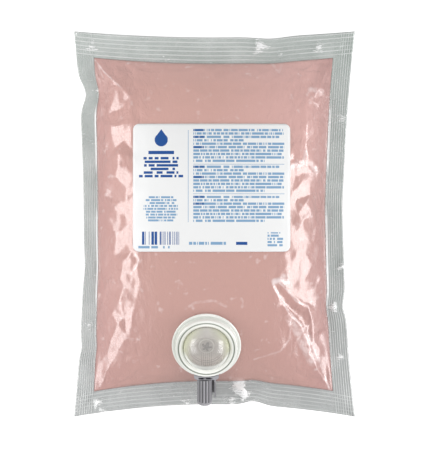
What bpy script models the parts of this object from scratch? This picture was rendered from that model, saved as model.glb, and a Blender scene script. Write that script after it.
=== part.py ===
"""One litre hand soap refill: a clear film pouch of lotion soap with a dome pump.

The pouch lies on its back. +Z is up, out of the front web that carries the pump and the label.
+Y runs to the pouch's top seal, -Y to the nozzle. All sizes are in metres.
"""

from collections import namedtuple
from math import atan2, cos, exp, pi, radians, sin, sqrt, tan

import bmesh
import bpy
from mathutils import Matrix, Vector

MM = 0.001

# Room left between two pieces that touch on the real pack
GAP = 0.3 * MM

# Pouch outline. Each edge has its reach from the middle at the corners, how far it is drawn in
# halfway along, and the same for its inner seal line. A pucker is (place along, depth, width).
Edge = namedtuple("Edge", "reach sag seal seal_sag droop puckers")
POUCH_WIDTH = 185.5 * MM
POUCH_LENGTH = 254.8 * MM
HALF_WIDTH = POUCH_WIDTH / 2
HALF_LENGTH = POUCH_LENGTH / 2
LEFT = Edge(HALF_WIDTH, 6.4 * MM, 12.2 * MM, 3.4 * MM, 0.10, (
    (86 * MM, 4.2 * MM, 9 * MM),
    (-28 * MM, 1.0 * MM, 12 * MM),
    (-81 * MM, 1.2 * MM, 6 * MM),
))
RIGHT = Edge(HALF_WIDTH, 7.6 * MM, 12.8 * MM, 6.4 * MM, 0.10, (
    (12 * MM, 0.8 * MM, 20 * MM),
    (-54 * MM, 1.8 * MM, 7 * MM),
))
TOP = Edge(HALF_LENGTH, 4.2 * MM, 16.0 * MM, 5.4 * MM, 0.16, (
    (37 * MM, 1.4 * MM, 12 * MM),
))
BOTTOM = Edge(HALF_LENGTH, 8.4 * MM, 14.2 * MM, 9.4 * MM, 0.20, (
    (26 * MM, 2.6 * MM, 8 * MM),
))
SEAL_PUCKER = 0.5

# Pouch section. Heights are above the surface that it lies on.
FILM = 0.15 * MM
CROWN = 48.5 * MM
SEAM_SIDE = 15.5 * MM
SEAM_TOP = 14.5 * MM
SEAM_BOTTOM = 13.5 * MM
SEAM_CORNER_DROP = 6.0 * MM
BELLY = 26.0 * MM
SIDE_BULGE = (2.5, 0.70)
END_BULGE = (2.7, 0.68)
SOAP_ROOM = 0.4 * MM
SOAP_INSET = 0.015

# Cells of the pouch's mesh, crowded towards the seams where it bends most
CELLS_ACROSS = 20
CELLS_ALONG = 26
SEAL_CELLS = 2
CROWDING = 0.75 * pi / 2

# Pump port in the front web
PORT_X = -5.3 * MM
PORT_Y = 48.1 * MM - HALF_LENGTH
PORT_SINK = 0.8 * MM
PUMP_TILT = radians(24)
HOLE_R = 13.3 * MM
WELD_R = 19.0 * MM
PORT_STEPS = 36
SOAP_POCKET = 4.0 * MM

# Label on the front web
LABEL_WIDTH = 103.2 * MM
LABEL_HEIGHT = 84.0 * MM
LABEL_X = -1.9 * MM
LABEL_Y = HALF_LENGTH - 103.6 * MM
LABEL_CORNER_R = 4.0 * MM
LABEL_FILM = 0.15 * MM
LABEL_CELLS = (13, 11)

# Fitment welded inside the web. Heights from here on are along the pump's axis, from the web.
NECK_WALL = 1.6 * MM
NECK_TOP = GAP
FLANGE_THICK = 1.4 * MM
FLANGE_EDGE = 1.0 * MM

# Pump body
PLATE_BOTTOM = NECK_TOP + GAP
PLATE_TOP = PLATE_BOTTOM + 1.0 * MM
SPIGOT_WALL = 1.2 * MM
BARB = 0.7 * MM
BARB_LENGTH = 0.9 * MM
BODY_R = 18.4 * MM
SEAT_WIDTH = 3.4 * MM
RIM_WALL = 0.7 * MM
INLET_HOLES = 6
INLET_HOLE_R = 1.3 * MM
INLET_CIRCLE_R = 3.5 * MM
STEM_R = 0.9 * MM

# Outlet. Its axis passes beside the pump's and points to the nozzle's mouth, and its duct runs
# under the dome's seat.
STUB_R = 2.2 * MM
DUCT_R = 1.1 * MM
DUCT_ROOF = 0.4 * MM
OUTLET_HEIGHT = STUB_R + GAP
OUTLET_SHIFT = -1.2 * MM
SEAT_TOP = OUTLET_HEIGHT + DUCT_R + DUCT_ROOF

# Dome
DOME_WALL = 1.1 * MM
BEAD_THICK = 0.8 * MM
BEAD_BOTTOM = SEAT_TOP + GAP
BEAD_TOP = BEAD_BOTTOM + BEAD_THICK
BEAD_R = BODY_R - RIM_WALL - GAP
DOME_R = 15.3 * MM
DOME_RISE = 12.5 * MM

# Collar ring that clamps the dome
COLLAR_WALL_R = BODY_R + GAP + 1.9 * MM
COLLAR_DRAFT = 0.3 * MM
COLLAR_FLANGE_R = COLLAR_WALL_R + 2.2 * MM
COLLAR_FLANGE_TOP = 1.8 * MM
COLLAR_LIP_R = DOME_R + GAP
COLLAR_LIP_TOP = BEAD_TOP + GAP + 0.6 * MM
COLLAR_LIP_SLOPE = 1.2 * MM
COLLAR_FACE = BEAD_TOP + GAP + 1.5 * MM
COLLAR_GROOVE_R = COLLAR_WALL_R - 2.2 * MM
COLLAR_GROOVE_WIDTH = 0.8 * MM
COLLAR_GROOVE_DEPTH = 0.7 * MM
COLLAR_ROUND = 0.4 * MM
COLLAR_GATE = 18.0 * MM

# Inlet valve
VALVE_R = 5.3 * MM
VALVE_CROWN = 1.6 * MM
VALVE_EDGE = 0.3 * MM
STEM_BARB_R = 1.7 * MM
STEM_LENGTH = 1.8 * MM

# Nozzle. Places along the outlet are from its crossing with the pump's axis.
NOZZLE_START = COLLAR_WALL_R + GAP
STUB_END = NOZZLE_START + 4.6 * MM
BARREL_R = STUB_R + GAP + 0.8 * MM
BARREL_END = NOZZLE_START + 15.7 * MM
SADDLE_WIDTH = 16.4 * MM
SADDLE_LENGTH = 1.8 * MM
SADDLE_BACK = -1.4 * MM
SADDLE_FRONT = BARREL_R + 0.4 * MM
SADDLE_ROUND = 2.2 * MM
WINDOW_WIDTH = 3.3 * MM
WINDOW_LENGTH = 1.1 * MM
WINDOW_DEPTH = 1.0 * MM
WINDOW_RIB = 1.4 * MM
WINDOW_SET = 0.3 * MM

# Outlet valve
BILL_START = STUB_END + 2.5 * MM
BILL_COLLAR = 2.0 * MM
BILL_LENGTH = 6.5 * MM
BILL_WALL = 0.7 * MM
BILL_LIP = (1.9 * MM, 0.5 * MM)

# Nozzle cap
CAP_BORE_R = BARREL_R + GAP
CAP_R = CAP_BORE_R + 1.4 * MM
CAP_START = NOZZLE_START + SADDLE_LENGTH + GAP
CAP_END = BARREL_END + 5.0 * MM
CAP_NOSE = 2.0 * MM
CAP_NOSE_R = CAP_R - 1.2 * MM
CAP_PLUG = 1.2 * MM
CAP_RIBS = 14
CAP_GROOVE = 0.5 * MM
CAP_GROOVE_STOP = 2.6 * MM

# Guard beside and behind the cap. Its back starts where the film has fallen away.
GUARD_WALL = 1.0 * MM
GUARD_BACK = -CAP_R - GAP - GUARD_WALL
GUARD_BACK_START = NOZZLE_START + 5.1 * MM
GUARD_END = BARREL_END - 0.5 * MM
GUARD_LEFT = -4.4 * MM
GUARD_RIGHT = CAP_R + 1.4 * MM + GUARD_WALL
GUARD_FRONT = 2.4 * MM

# The web is flat over the weld, and takes its own shape again from the collar's edge on
PORT_FREE_R = COLLAR_FLANGE_R + 1.2 * MM
PORT_CLEAR = COLLAR_FLANGE_R + 0.7 * MM


def clear_scene():
    for obj in list(bpy.data.objects):
        bpy.data.objects.remove(obj, do_unlink=True)


def material(name, colour, roughness, alpha=1.0, transmission=0.0):
    made = bpy.data.materials.new(name)
    made.use_nodes = True
    shader = made.node_tree.nodes["Principled BSDF"]
    shader.inputs["Base Color"].default_value = (*colour, 1.0)
    shader.inputs["Roughness"].default_value = roughness
    shader.inputs["Metallic"].default_value = 0.0
    shader.inputs["Alpha"].default_value = alpha
    shader.inputs["Transmission Weight"].default_value = transmission
    return made


def frame(name, matrix, parent=None):
    """An empty whose axes a group of pieces is modelled in."""
    made = bpy.data.objects.new(name, None)
    made.empty_display_size = 0.01
    made.parent = parent
    made.matrix_local = matrix
    bpy.context.scene.collection.objects.link(made)
    return made


def piece(name, bm, surface=None, parent=None, sharp=radians(35)):
    """Turns a bmesh into an object with its faces outwards and its round faces smooth."""
    bmesh.ops.recalc_face_normals(bm, faces=bm.faces)
    mesh = bpy.data.meshes.new(name)
    bm.to_mesh(mesh)
    bm.free()
    mesh.shade_smooth()
    mesh.set_sharp_from_angle(angle=sharp)
    made = bpy.data.objects.new(name, mesh)
    made.parent = parent
    if surface:
        mesh.materials.append(surface)
    bpy.context.scene.collection.objects.link(made)
    return made


def combine(target, tool, operation):
    """Joins, cuts or trims the target with another object, which is kept as a guide."""
    tool.hide_render = True
    tool.display_type = "WIRE"
    change = target.modifiers.new(tool.name, "BOOLEAN")
    change.object = tool
    change.operation = operation
    change.solver = "EXACT"


def smooth(value):
    value = min(1.0, max(0.0, value))
    return value * value * (3 - 2 * value)


def mix(a, b, share):
    return a + (b - a) * share


def arc(centre, radius, start, end, steps):
    """Points (r, z) of an arc in a profile, with angles from the outward direction."""
    turns = [mix(start, end, i / steps) for i in range(steps + 1)]
    return [(centre[0] + radius * cos(a), centre[1] + radius * sin(a)) for a in turns]


def oval(low, radius, rise, start, end, steps):
    """Points (r, z) of a part of an oval that stands on the height low."""
    turns = [mix(start, end, i / steps) for i in range(steps + 1)]
    return [(radius * cos(a), low + rise * sin(a)) for a in turns]


def turned(profile, steps):
    """A bmesh turned about Z from (r, z) points. An end on the axis closes there."""
    bm = bmesh.new()
    points = [bm.verts.new((r, 0, z)) for r, z in profile]
    pairs = list(zip(points, points[1:]))
    if profile[0][0] > 0 or profile[-1][0] > 0:
        pairs.append((points[-1], points[0]))
    edges = [bm.edges.new(pair) for pair in pairs]
    bmesh.ops.spin(
        bm, geom=points + edges, cent=(0, 0, 0), axis=(0, 0, 1), angle=2 * pi, steps=steps,
        use_merge=True,
    )
    bmesh.ops.remove_doubles(bm, verts=bm.verts, dist=1e-7)
    return bm


def block(low, high):
    """A bmesh box between two corners."""
    bm = bmesh.new()
    size = [b - a for a, b in zip(low, high)]
    middle = [(a + b) / 2 for a, b in zip(low, high)]
    bmesh.ops.create_cube(
        bm, size=1.0, matrix=Matrix.Translation(middle) @ Matrix.Diagonal((*size, 1.0))
    )
    return bm


def rod(radius, start, end, steps, centre=(0.0, 0.0)):
    """A bmesh cylinder along Z."""
    bm = bmesh.new()
    place = Matrix.Translation((centre[0], centre[1], (start + end) / 2))
    bmesh.ops.create_cone(
        bm, cap_ends=True, segments=steps, radius1=radius, radius2=radius, depth=end - start,
        matrix=place,
    )
    return bm


def edge_line(edge, along, half, seal):
    """How far from the middle an edge of the pouch, or its seal line, lies at a place along it."""
    bow = 1 - min(1.0, (along / half) ** 2)
    pull = sum(depth * exp(-(((along - at) / width) ** 2)) for at, depth, width in edge.puckers)
    if seal:
        return edge.reach - edge.seal - edge.seal_sag * bow - SEAL_PUCKER * pull
    return edge.reach - edge.sag * bow - pull


def across(low, high, low_edge, high_edge, at, along, half):
    """Place between two opposite edges: -1 and 1 are the seal lines, -2 and 2 the outer edges."""
    if at < -1:
        return -mix(low, edge_line(low_edge, along, half, False), -at - 1)
    if at > 1:
        return mix(high, edge_line(high_edge, along, half, False), at - 1)
    return mix(-low, high, (at + 1) / 2)


def seal_lines(x, y):
    """Left, right, bottom and top seal lines beside a point, as distances from the middle."""
    return (
        edge_line(LEFT, y, HALF_LENGTH, True),
        edge_line(RIGHT, y, HALF_LENGTH, True),
        edge_line(BOTTOM, x, HALF_WIDTH, True),
        edge_line(TOP, x, HALF_WIDTH, True),
    )


def plan_point(u, v):
    """The (x, y) of a place given as shares of the pouch's width and length."""
    x = y = 0.0
    for _ in range(12):
        left, right, bottom, top = seal_lines(x, y)
        x = across(left, right, LEFT, RIGHT, u, y, HALF_LENGTH)
        y = across(bottom, top, BOTTOM, TOP, v, x, HALF_WIDTH)
    return x, y


def shares(x, y):
    """The inverse of plan_point inside the seal lines."""
    left, right, bottom, top = seal_lines(x, y)
    return (2 * x + left - right) / (left + right), (2 * y + bottom - top) / (bottom + top)


def bulge(u, v):
    """Share of the full thickness, from 0 on the seal lines to 1 in the middle."""
    side = max(0.0, 1 - abs(u) ** SIDE_BULGE[0]) ** SIDE_BULGE[1]
    end = max(0.0, 1 - abs(v) ** END_BULGE[0]) ** END_BULGE[1]
    return side * end


def seam_height(u, v):
    """Height of the plane where the two webs meet. Past the seal lines the margins droop."""
    inner_u = min(1.0, max(-1.0, u))
    inner_v = min(1.0, max(-1.0, v))
    end = SEAM_TOP if v > 0 else SEAM_BOTTOM
    height = mix(SEAM_SIDE, end, inner_v**4) - SEAM_CORNER_DROP * abs(inner_u * inner_v) ** 3
    side, end = (RIGHT if u > 0 else LEFT), (TOP if v > 0 else BOTTOM)
    drop = side.droop * side.seal * (abs(u) - abs(inner_u))
    return height - drop - end.droop * end.seal * (abs(v) - abs(inner_v))


def natural_front(x, y):
    u, v = shares(x, y)
    seam = seam_height(u, v)
    return seam + (CROWN - SEAM_SIDE) * bulge(u, v)


PORT = Vector((PORT_X, PORT_Y, natural_front(PORT_X, PORT_Y) - PORT_SINK))


def port_radius(x, y):
    return sqrt((x - PORT.x) ** 2 + ((y - PORT.y) / cos(PUMP_TILT)) ** 2)


def front_height(x, y):
    """The front web's outer side, flat and tilted where it is welded to the fitment."""
    flat = PORT.z + (y - PORT.y) * tan(PUMP_TILT)
    free = smooth((port_radius(x, y) - WELD_R) / (PORT_FREE_R - WELD_R))
    return mix(flat, natural_front(x, y), free)


def back_height(x, y):
    """The back web's outer side, flat where the weight of the soap rests on it."""
    u, v = shares(x, y)
    return max(0.0, seam_height(u, v) - BELLY * bulge(u, v))


def crowded(cells, limit=1.0):
    places = [sin(CROWDING * (2 * i / cells - 1)) / sin(CROWDING) for i in range(cells + 1)]
    return [-limit, *places[1:-1], limit]


def with_seals(places):
    seal = [1 + (i + 1) / SEAL_CELLS for i in range(SEAL_CELLS)]
    return [-s for s in reversed(seal)] + places + seal


def port_cells():
    """The cells of the inner grid that make way for the pump port."""
    columns, rows = crowded(CELLS_ACROSS), crowded(CELLS_ALONG)
    found = set()
    for i in range(CELLS_ACROSS):
        for j in range(CELLS_ALONG):
            middle = plan_point((columns[i] + columns[i + 1]) / 2, (rows[j] + rows[j + 1]) / 2)
            if port_radius(*middle) < PORT_CLEAR:
                found.add((i, j))
    return found


PORT_CELLS = port_cells()


def port_ring(bm, radius):
    """A ring of vertices around the port, as seen from above."""
    turns = [2 * pi * i / PORT_STEPS for i in range(PORT_STEPS)]
    return [
        bm.verts.new((PORT.x + radius * cos(a), PORT.y + radius * sin(a) * cos(PUMP_TILT), 0))
        for a in turns
    ]


def join_rings(bm, first, second):
    for i, point in enumerate(first):
        bm.faces.new((first[i - 1], point, second[i], second[i - 1]))


def web(bm, columns, rows, height, port_rings=(), margin=0):
    """One web of the pouch, with its cells near the port swapped for rings around it.

    Returns the grid of vertices by place and the rings, from the widest in.
    """
    grid, rings = {}, []
    for i, u in enumerate(columns):
        for j, v in enumerate(rows):
            x, y = plan_point(u, v)
            grid[i, j] = bm.verts.new((x, y, 0))
    removed = {(i + margin, j + margin) for i, j in PORT_CELLS} if port_rings else set()
    border = {}
    for i in range(len(columns) - 1):
        for j in range(len(rows) - 1):
            corners = [grid[i, j], grid[i + 1, j], grid[i + 1, j + 1], grid[i, j + 1]]
            if (i, j) not in removed:
                bm.faces.new(corners)
                continue
            for k, corner in enumerate(corners):
                pair = frozenset((corners[k - 1], corner))
                border[pair] = border.get(pair, 0) + 1
    if port_rings:
        rings = [port_ring(bm, radius) for radius in port_rings]
        outline = [
            bm.edges.get(pair) or bm.edges.new(pair) for pair, count in border.items() if count == 1
        ]
        outline += [bm.edges.new((rings[0][i - 1], p)) for i, p in enumerate(rings[0])]
        bmesh.ops.triangle_fill(bm, use_beauty=True, edges=outline, normal=(0, 0, 1))
        for outer, inner in zip(rings, rings[1:]):
            join_rings(bm, outer, inner)
        kept = {v for face in bm.faces for v in face.verts}
        bmesh.ops.delete(bm, geom=[v for v in bm.verts if v not in kept], context="VERTS")
        grid = {place: v for place, v in grid.items() if v.is_valid}
    for (i, j), v in grid.items():
        v.co.z = height(v.co.x, v.co.y, columns[i], rows[j])
    for v in (v for ring in rings for v in ring):
        v.co.z = height(v.co.x, v.co.y, *shares(v.co.x, v.co.y))
    return grid, rings


def rim_of(grid):
    """The outermost vertices of a grid, in order round it."""
    last_i = max(i for i, j in grid)
    last_j = max(j for i, j in grid)
    low = [(i, 0) for i in range(last_i)]
    right = [(last_i, j) for j in range(last_j)]
    high = [(i, last_j) for i in range(last_i, 0, -1)]
    left = [(0, j) for j in range(last_j, 0, -1)]
    return [grid[place] for place in low + right + high + left]


def side_height(surface, thickness, outward):
    """Height of one side of a web: the pouch's outer side, or that less the given thickness."""

    def height(x, y, u, v):
        if max(abs(u), abs(v)) >= 1:
            return seam_height(u, v) + (outward * FILM if thickness == 0 else 0)
        return surface(x, y) - outward * thickness

    return height


def make_film(surface):
    """Both webs, sealed to each other round the edge, with the soap's space between them."""
    bm = bmesh.new()
    columns, rows = with_seals(crowded(CELLS_ACROSS)), with_seals(crowded(CELLS_ALONG))
    inner_columns, inner_rows = crowded(CELLS_ACROSS), crowded(CELLS_ALONG)
    radii = (WELD_R, HOLE_R)
    front, outer_rings = web(
        bm, columns, rows, side_height(front_height, 0, 1), radii, SEAL_CELLS
    )
    back, _ = web(bm, columns, rows, side_height(back_height, 0, -1))
    join_rings(bm, rim_of(front), rim_of(back))
    roof, inner_rings = web(bm, inner_columns, inner_rows, side_height(front_height, FILM, 1), radii)
    floor, _ = web(bm, inner_columns, inner_rows, side_height(back_height, FILM, -1))
    join_rings(bm, outer_rings[-1], inner_rings[-1])
    bmesh.ops.remove_doubles(bm, verts=rim_of(roof) + rim_of(floor), dist=1e-7)
    return piece("film_pouch", bm, surface, sharp=radians(60))


def make_soap(surface):
    """The soap that fills the pouch, with a pocket where the fitment's flange reaches in."""
    bm = bmesh.new()
    columns = crowded(CELLS_ACROSS, 1 - SOAP_INSET)
    rows = crowded(CELLS_ALONG, 1 - SOAP_INSET)
    depth = FILM + SOAP_ROOM

    def top(x, y, u, v):
        if max(abs(u), abs(v)) >= 1 - SOAP_INSET:
            return seam_height(u, v)
        pocket = SOAP_POCKET if port_radius(x, y) < WELD_R + 2 * GAP else 0.0
        return front_height(x, y) - depth - pocket

    def bottom(x, y, u, v):
        if max(abs(u), abs(v)) >= 1 - SOAP_INSET:
            return seam_height(u, v)
        return back_height(x, y) + depth

    roof, rings = web(bm, columns, rows, top, (WELD_R + GAP,))
    floor, _ = web(bm, columns, rows, bottom)
    bm.faces.new(rings[0])
    bmesh.ops.remove_doubles(bm, verts=rim_of(roof) + rim_of(floor), dist=1e-7)
    return piece("soap", bm, surface, sharp=radians(60))


def make_label(surface):
    """The printed film label, which follows the front web."""
    bm = bmesh.new()
    across_cells, along_cells = LABEL_CELLS
    made = bmesh.ops.create_grid(
        bm, x_segments=across_cells, y_segments=along_cells, size=0.5,
        matrix=Matrix.Translation((LABEL_X, LABEL_Y, 0))
        @ Matrix.Diagonal((LABEL_WIDTH, LABEL_HEIGHT, 1, 1)),
    )
    for v in made["verts"]:
        v.co.z = front_height(v.co.x, v.co.y) + GAP
    raised = bmesh.ops.extrude_face_region(bm, geom=bm.faces[:])
    top = [v for v in raised["geom"] if isinstance(v, bmesh.types.BMVert)]
    bmesh.ops.translate(bm, verts=top, vec=(0, 0, LABEL_FILM))
    label = piece("label", bm, surface, sharp=radians(60))
    combine(label, label_outline(), "INTERSECT")
    return label


def label_outline():
    """A deep block with the label's outline, which rounds its corners."""
    bm = bmesh.new()
    half = (LABEL_WIDTH / 2 - LABEL_CORNER_R, LABEL_HEIGHT / 2 - LABEL_CORNER_R)
    corner = [(pi / 2 * q, sx, sy) for q, sx, sy in ((0, 1, 1), (1, -1, 1), (2, -1, -1), (3, 1, -1))]
    points = [
        bm.verts.new((
            LABEL_X + sx * half[0] + x,
            LABEL_Y + sy * half[1] + y,
            0,
        ))
        for start, sx, sy in corner
        for x, y in arc((0, 0), LABEL_CORNER_R, start, start + pi / 2, 5)
    ]
    face = bm.faces.new(points)
    raised = bmesh.ops.extrude_face_region(bm, geom=[face])
    top = [v for v in raised["geom"] if isinstance(v, bmesh.types.BMVert)]
    bmesh.ops.translate(bm, verts=top, vec=(0, 0, 2 * CROWN))
    return piece("label_outline", bm)


def make_fitment(surface, pump):
    """Flange welded under the web, and the neck that comes through its hole."""
    top = -FILM - GAP
    neck_r = HOLE_R - GAP
    bore_r = neck_r - NECK_WALL
    flange_r = WELD_R - GAP
    bm = turned(
        [
            (bore_r, top - FLANGE_THICK),
            (flange_r - FLANGE_EDGE, top - FLANGE_THICK),
            (flange_r, top - FLANGE_THICK + FLANGE_EDGE / 2),
            (flange_r, top),
            (neck_r, top),
            (neck_r, NECK_TOP),
            (bore_r, NECK_TOP),
        ],
        40,
    )
    return piece("spout_fitment", bm, surface, pump)


def make_body(surface, pump, outlet):
    """Cup under the dome: a plate with the inlet, a seat for the dome and the outlet's stub."""
    spigot_r = HOLE_R - GAP - NECK_WALL - GAP
    flange_bottom = -FILM - GAP - FLANGE_THICK
    barb_top = flange_bottom - GAP
    bm = turned(
        [
            (0, PLATE_BOTTOM),
            (spigot_r - SPIGOT_WALL, PLATE_BOTTOM),
            (spigot_r - SPIGOT_WALL, barb_top - BARB_LENGTH),
            (spigot_r, barb_top - BARB_LENGTH),
            (spigot_r + BARB, barb_top),
            (spigot_r, barb_top),
            (spigot_r, PLATE_BOTTOM),
            (BODY_R, PLATE_BOTTOM),
            (BODY_R, BEAD_TOP),
            (BODY_R - RIM_WALL, BEAD_TOP),
            (BODY_R - RIM_WALL, SEAT_TOP),
            (BODY_R - SEAT_WIDTH, SEAT_TOP),
            (BODY_R - SEAT_WIDTH, PLATE_TOP),
            (0, PLATE_TOP),
        ],
        40,
    )
    body = piece("pump_body", bm, surface, pump)
    stub = piece("outlet_stub", rod(STUB_R, BODY_R - RIM_WALL / 2, STUB_END, 20), None, outlet)
    combine(body, stub, "UNION")
    duct_start = BODY_R - SEAT_WIDTH - GAP
    duct = piece("outlet_duct", rod(DUCT_R, duct_start, STUB_END + GAP, 14), None, outlet)
    combine(body, duct, "DIFFERENCE")
    for i in range(INLET_HOLES):
        turn = 2 * pi * i / INLET_HOLES
        centre = (INLET_CIRCLE_R * cos(turn), INLET_CIRCLE_R * sin(turn))
        hole = rod(INLET_HOLE_R, PLATE_BOTTOM - GAP, PLATE_TOP + GAP, 10, centre)
        combine(body, piece(f"inlet_hole_{i + 1}", hole, None, pump), "DIFFERENCE")
    stem = rod(STEM_R + GAP, PLATE_BOTTOM - GAP, PLATE_TOP + GAP, 14)
    combine(body, piece("stem_hole", stem, None, pump), "DIFFERENCE")
    return body


def make_inlet_valve(surface, pump):
    """Umbrella valve whose stem is pulled through the plate and held by its barb."""
    under = PLATE_TOP + GAP
    top = under + VALVE_CROWN
    barb = PLATE_BOTTOM - GAP
    rise = VALVE_CROWN - VALVE_EDGE
    sphere = (VALVE_R**2 + rise**2) / (2 * rise)
    reach = atan2(sphere - rise, VALVE_R)
    bm = turned(
        arc((0, top - sphere), sphere, pi / 2, reach, 5)
        + [
            (VALVE_R, under),
            (STEM_R, under),
            (STEM_R, barb),
            (STEM_BARB_R, barb),
            (STEM_R, barb - STEM_LENGTH),
            (0, barb - STEM_LENGTH),
        ],
        24,
    )
    return piece("inlet_valve", bm, surface, pump)


def make_dome(surface, pump):
    """The squeezed dome: half of an oval, with a bead that is clamped round its edge."""
    inner_r = DOME_R - DOME_WALL
    bm = turned(
        oval(BEAD_TOP, DOME_R, DOME_RISE, pi / 2, 0, 10)
        + [(BEAD_R, BEAD_TOP), (BEAD_R, BEAD_BOTTOM), (inner_r, BEAD_BOTTOM)]
        + oval(BEAD_TOP, inner_r, DOME_RISE - DOME_WALL, 0, pi / 2, 9),
        40,
    )
    return piece("pump_dome", bm, surface, pump)


def make_collar(surface, pump, outlet):
    """Ring that snaps over the body, clamps the dome's bead and spreads into a flange."""
    skirt_r = BODY_R + GAP
    lip_bottom = BEAD_TOP + GAP
    face_r = COLLAR_WALL_R - COLLAR_DRAFT
    groove = (
        COLLAR_GROOVE_R + COLLAR_GROOVE_WIDTH / 2,
        COLLAR_GROOVE_R - COLLAR_GROOVE_WIDTH / 2,
    )
    bm = turned(
        [
            (skirt_r, GAP),
            (COLLAR_FLANGE_R - COLLAR_ROUND, GAP),
            (COLLAR_FLANGE_R, GAP + COLLAR_ROUND),
            (COLLAR_FLANGE_R, COLLAR_FLANGE_TOP - COLLAR_ROUND),
            (COLLAR_FLANGE_R - COLLAR_ROUND, COLLAR_FLANGE_TOP),
            (COLLAR_WALL_R + COLLAR_ROUND, COLLAR_FLANGE_TOP),
            (COLLAR_WALL_R, COLLAR_FLANGE_TOP + COLLAR_ROUND),
            (face_r, COLLAR_FACE - COLLAR_ROUND),
            (face_r - COLLAR_ROUND, COLLAR_FACE),
            (groove[0], COLLAR_FACE),
            (groove[0], COLLAR_FACE - COLLAR_GROOVE_DEPTH),
            (groove[1], COLLAR_FACE - COLLAR_GROOVE_DEPTH),
            (groove[1], COLLAR_FACE),
            (COLLAR_LIP_R + COLLAR_LIP_SLOPE, COLLAR_FACE),
            (COLLAR_LIP_R, COLLAR_LIP_TOP),
            (COLLAR_LIP_R, lip_bottom),
            (skirt_r, lip_bottom),
        ],
        48,
    )
    collar = piece("collar_ring", bm, surface, pump)
    room = STUB_R + GAP
    low = (-room, -OUTLET_HEIGHT, BODY_R - RIM_WALL)
    high = (room, room, COLLAR_FLANGE_R + GAP)
    combine(collar, piece("outlet_notch", block(low, high), None, outlet), "DIFFERENCE")
    low = (-COLLAR_GATE / 2, -COLLAR_FLANGE_R - GAP, 0)
    high = (COLLAR_GATE / 2, 0, COLLAR_FLANGE_TOP + COLLAR_ROUND)
    gate = piece("flange_gate", block(low, high), None, pump)
    inside = rod(COLLAR_WALL_R, -GAP, COLLAR_FACE, 64)
    combine(gate, piece("gate_inside", inside, None, pump), "DIFFERENCE")
    combine(collar, gate, "DIFFERENCE")
    return collar


def make_nozzle(surface, pump, outlet):
    """Barrel on the outlet's stub, with a saddle against the collar and a guard beside the cap."""
    saddle_end = NOZZLE_START + SADDLE_LENGTH
    shift = -OUTLET_SHIFT
    low = (shift - SADDLE_WIDTH / 2, SADDLE_BACK, NOZZLE_START - SADDLE_WIDTH / 4)
    high = (shift + SADDLE_WIDTH / 2, SADDLE_FRONT, saddle_end)
    bm = block(low, high)
    upright = [e for e in bm.edges if abs(e.verts[0].co.y - e.verts[1].co.y) > SADDLE_FRONT]
    far = [e for e in upright if e.verts[0].co.z > NOZZLE_START]
    bmesh.ops.bevel(
        bm, geom=far, offset=SADDLE_ROUND, segments=3, profile=0.5, affect="EDGES", material=-1
    )
    nozzle = piece("nozzle", bm, surface, outlet)
    barrel = rod(BARREL_R, saddle_end - SADDLE_LENGTH / 2, BARREL_END, 24)
    combine(nozzle, piece("nozzle_barrel", barrel, None, outlet), "UNION")
    combine(nozzle, guard_shape(outlet, saddle_end - GUARD_WALL), "UNION")
    round_collar = rod(NOZZLE_START, -2 * COLLAR_FACE, 2 * COLLAR_FACE, 64)
    combine(nozzle, piece("collar_room", round_collar, None, pump), "DIFFERENCE")
    bore = rod(STUB_R + GAP, NOZZLE_START - SADDLE_WIDTH / 2, BARREL_END + GAP, 24)
    combine(nozzle, piece("nozzle_bore", bore, None, outlet), "DIFFERENCE")
    for name, side in (("left", -1), ("right", 1)):
        middle = shift + side * (WINDOW_RIB + WINDOW_WIDTH) / 2
        start = NOZZLE_START + WINDOW_SET
        window = block(
            (middle - WINDOW_WIDTH / 2, SADDLE_FRONT - WINDOW_DEPTH, start),
            (middle + WINDOW_WIDTH / 2, SADDLE_FRONT + GAP, start + WINDOW_LENGTH),
        )
        combine(nozzle, piece(f"window_{name}", window, None, outlet), "DIFFERENCE")
    return nozzle


def guard_shape(outlet, start):
    """J-shaped channel behind the cap, whose one side stands up beside it."""
    section = [
        (GUARD_LEFT, GUARD_BACK),
        (GUARD_RIGHT, GUARD_BACK),
        (GUARD_RIGHT, GUARD_FRONT),
        (GUARD_RIGHT - GUARD_WALL, GUARD_FRONT),
        (GUARD_RIGHT - GUARD_WALL, GUARD_BACK + GUARD_WALL),
        (GUARD_LEFT, GUARD_BACK + GUARD_WALL),
    ]
    bm = bmesh.new()
    face = bm.faces.new([bm.verts.new((x, y, start)) for x, y in section])
    raised = bmesh.ops.extrude_face_region(bm, geom=[face])
    end = [v for v in raised["geom"] if isinstance(v, bmesh.types.BMVert)]
    bmesh.ops.translate(bm, verts=end, vec=(0, 0, GUARD_END - start))
    guard = piece("guard", bm, None, outlet)
    low = (2 * GUARD_LEFT, 2 * GUARD_BACK, start - GAP)
    high = (2 * GUARD_RIGHT, SADDLE_BACK, GUARD_BACK_START)
    combine(guard, piece("film_room", block(low, high), None, outlet), "DIFFERENCE")
    return guard


def make_outlet_valve(surface, outlet):
    """Duckbill valve: a short tube pressed into the barrel that narrows into flat lips."""
    bm = bmesh.new()
    outer_r = STUB_R
    inner_r = outer_r - BILL_WALL
    lip_x, lip_y = BILL_LIP
    end = BILL_START + BILL_LENGTH
    steps = 20
    sections = [
        (inner_r, inner_r, BILL_START),
        (inner_r, inner_r, BILL_START + BILL_COLLAR),
        (lip_x - BILL_WALL / 2, lip_y / 3, end - BILL_WALL),
    ]
    hollow = [ellipse(bm, *s, steps) for s in sections]
    sections = [
        (outer_r, outer_r, BILL_START),
        (outer_r, outer_r, BILL_START + BILL_COLLAR),
        (lip_x, lip_y, end),
    ]
    outside = [ellipse(bm, *s, steps) for s in sections]
    for rings in (hollow, outside):
        for first, second in zip(rings, rings[1:]):
            join_rings(bm, first, second)
        bm.faces.new(rings[-1])
    join_rings(bm, hollow[0], outside[0])
    return piece("outlet_valve", bm, surface, outlet)


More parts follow.
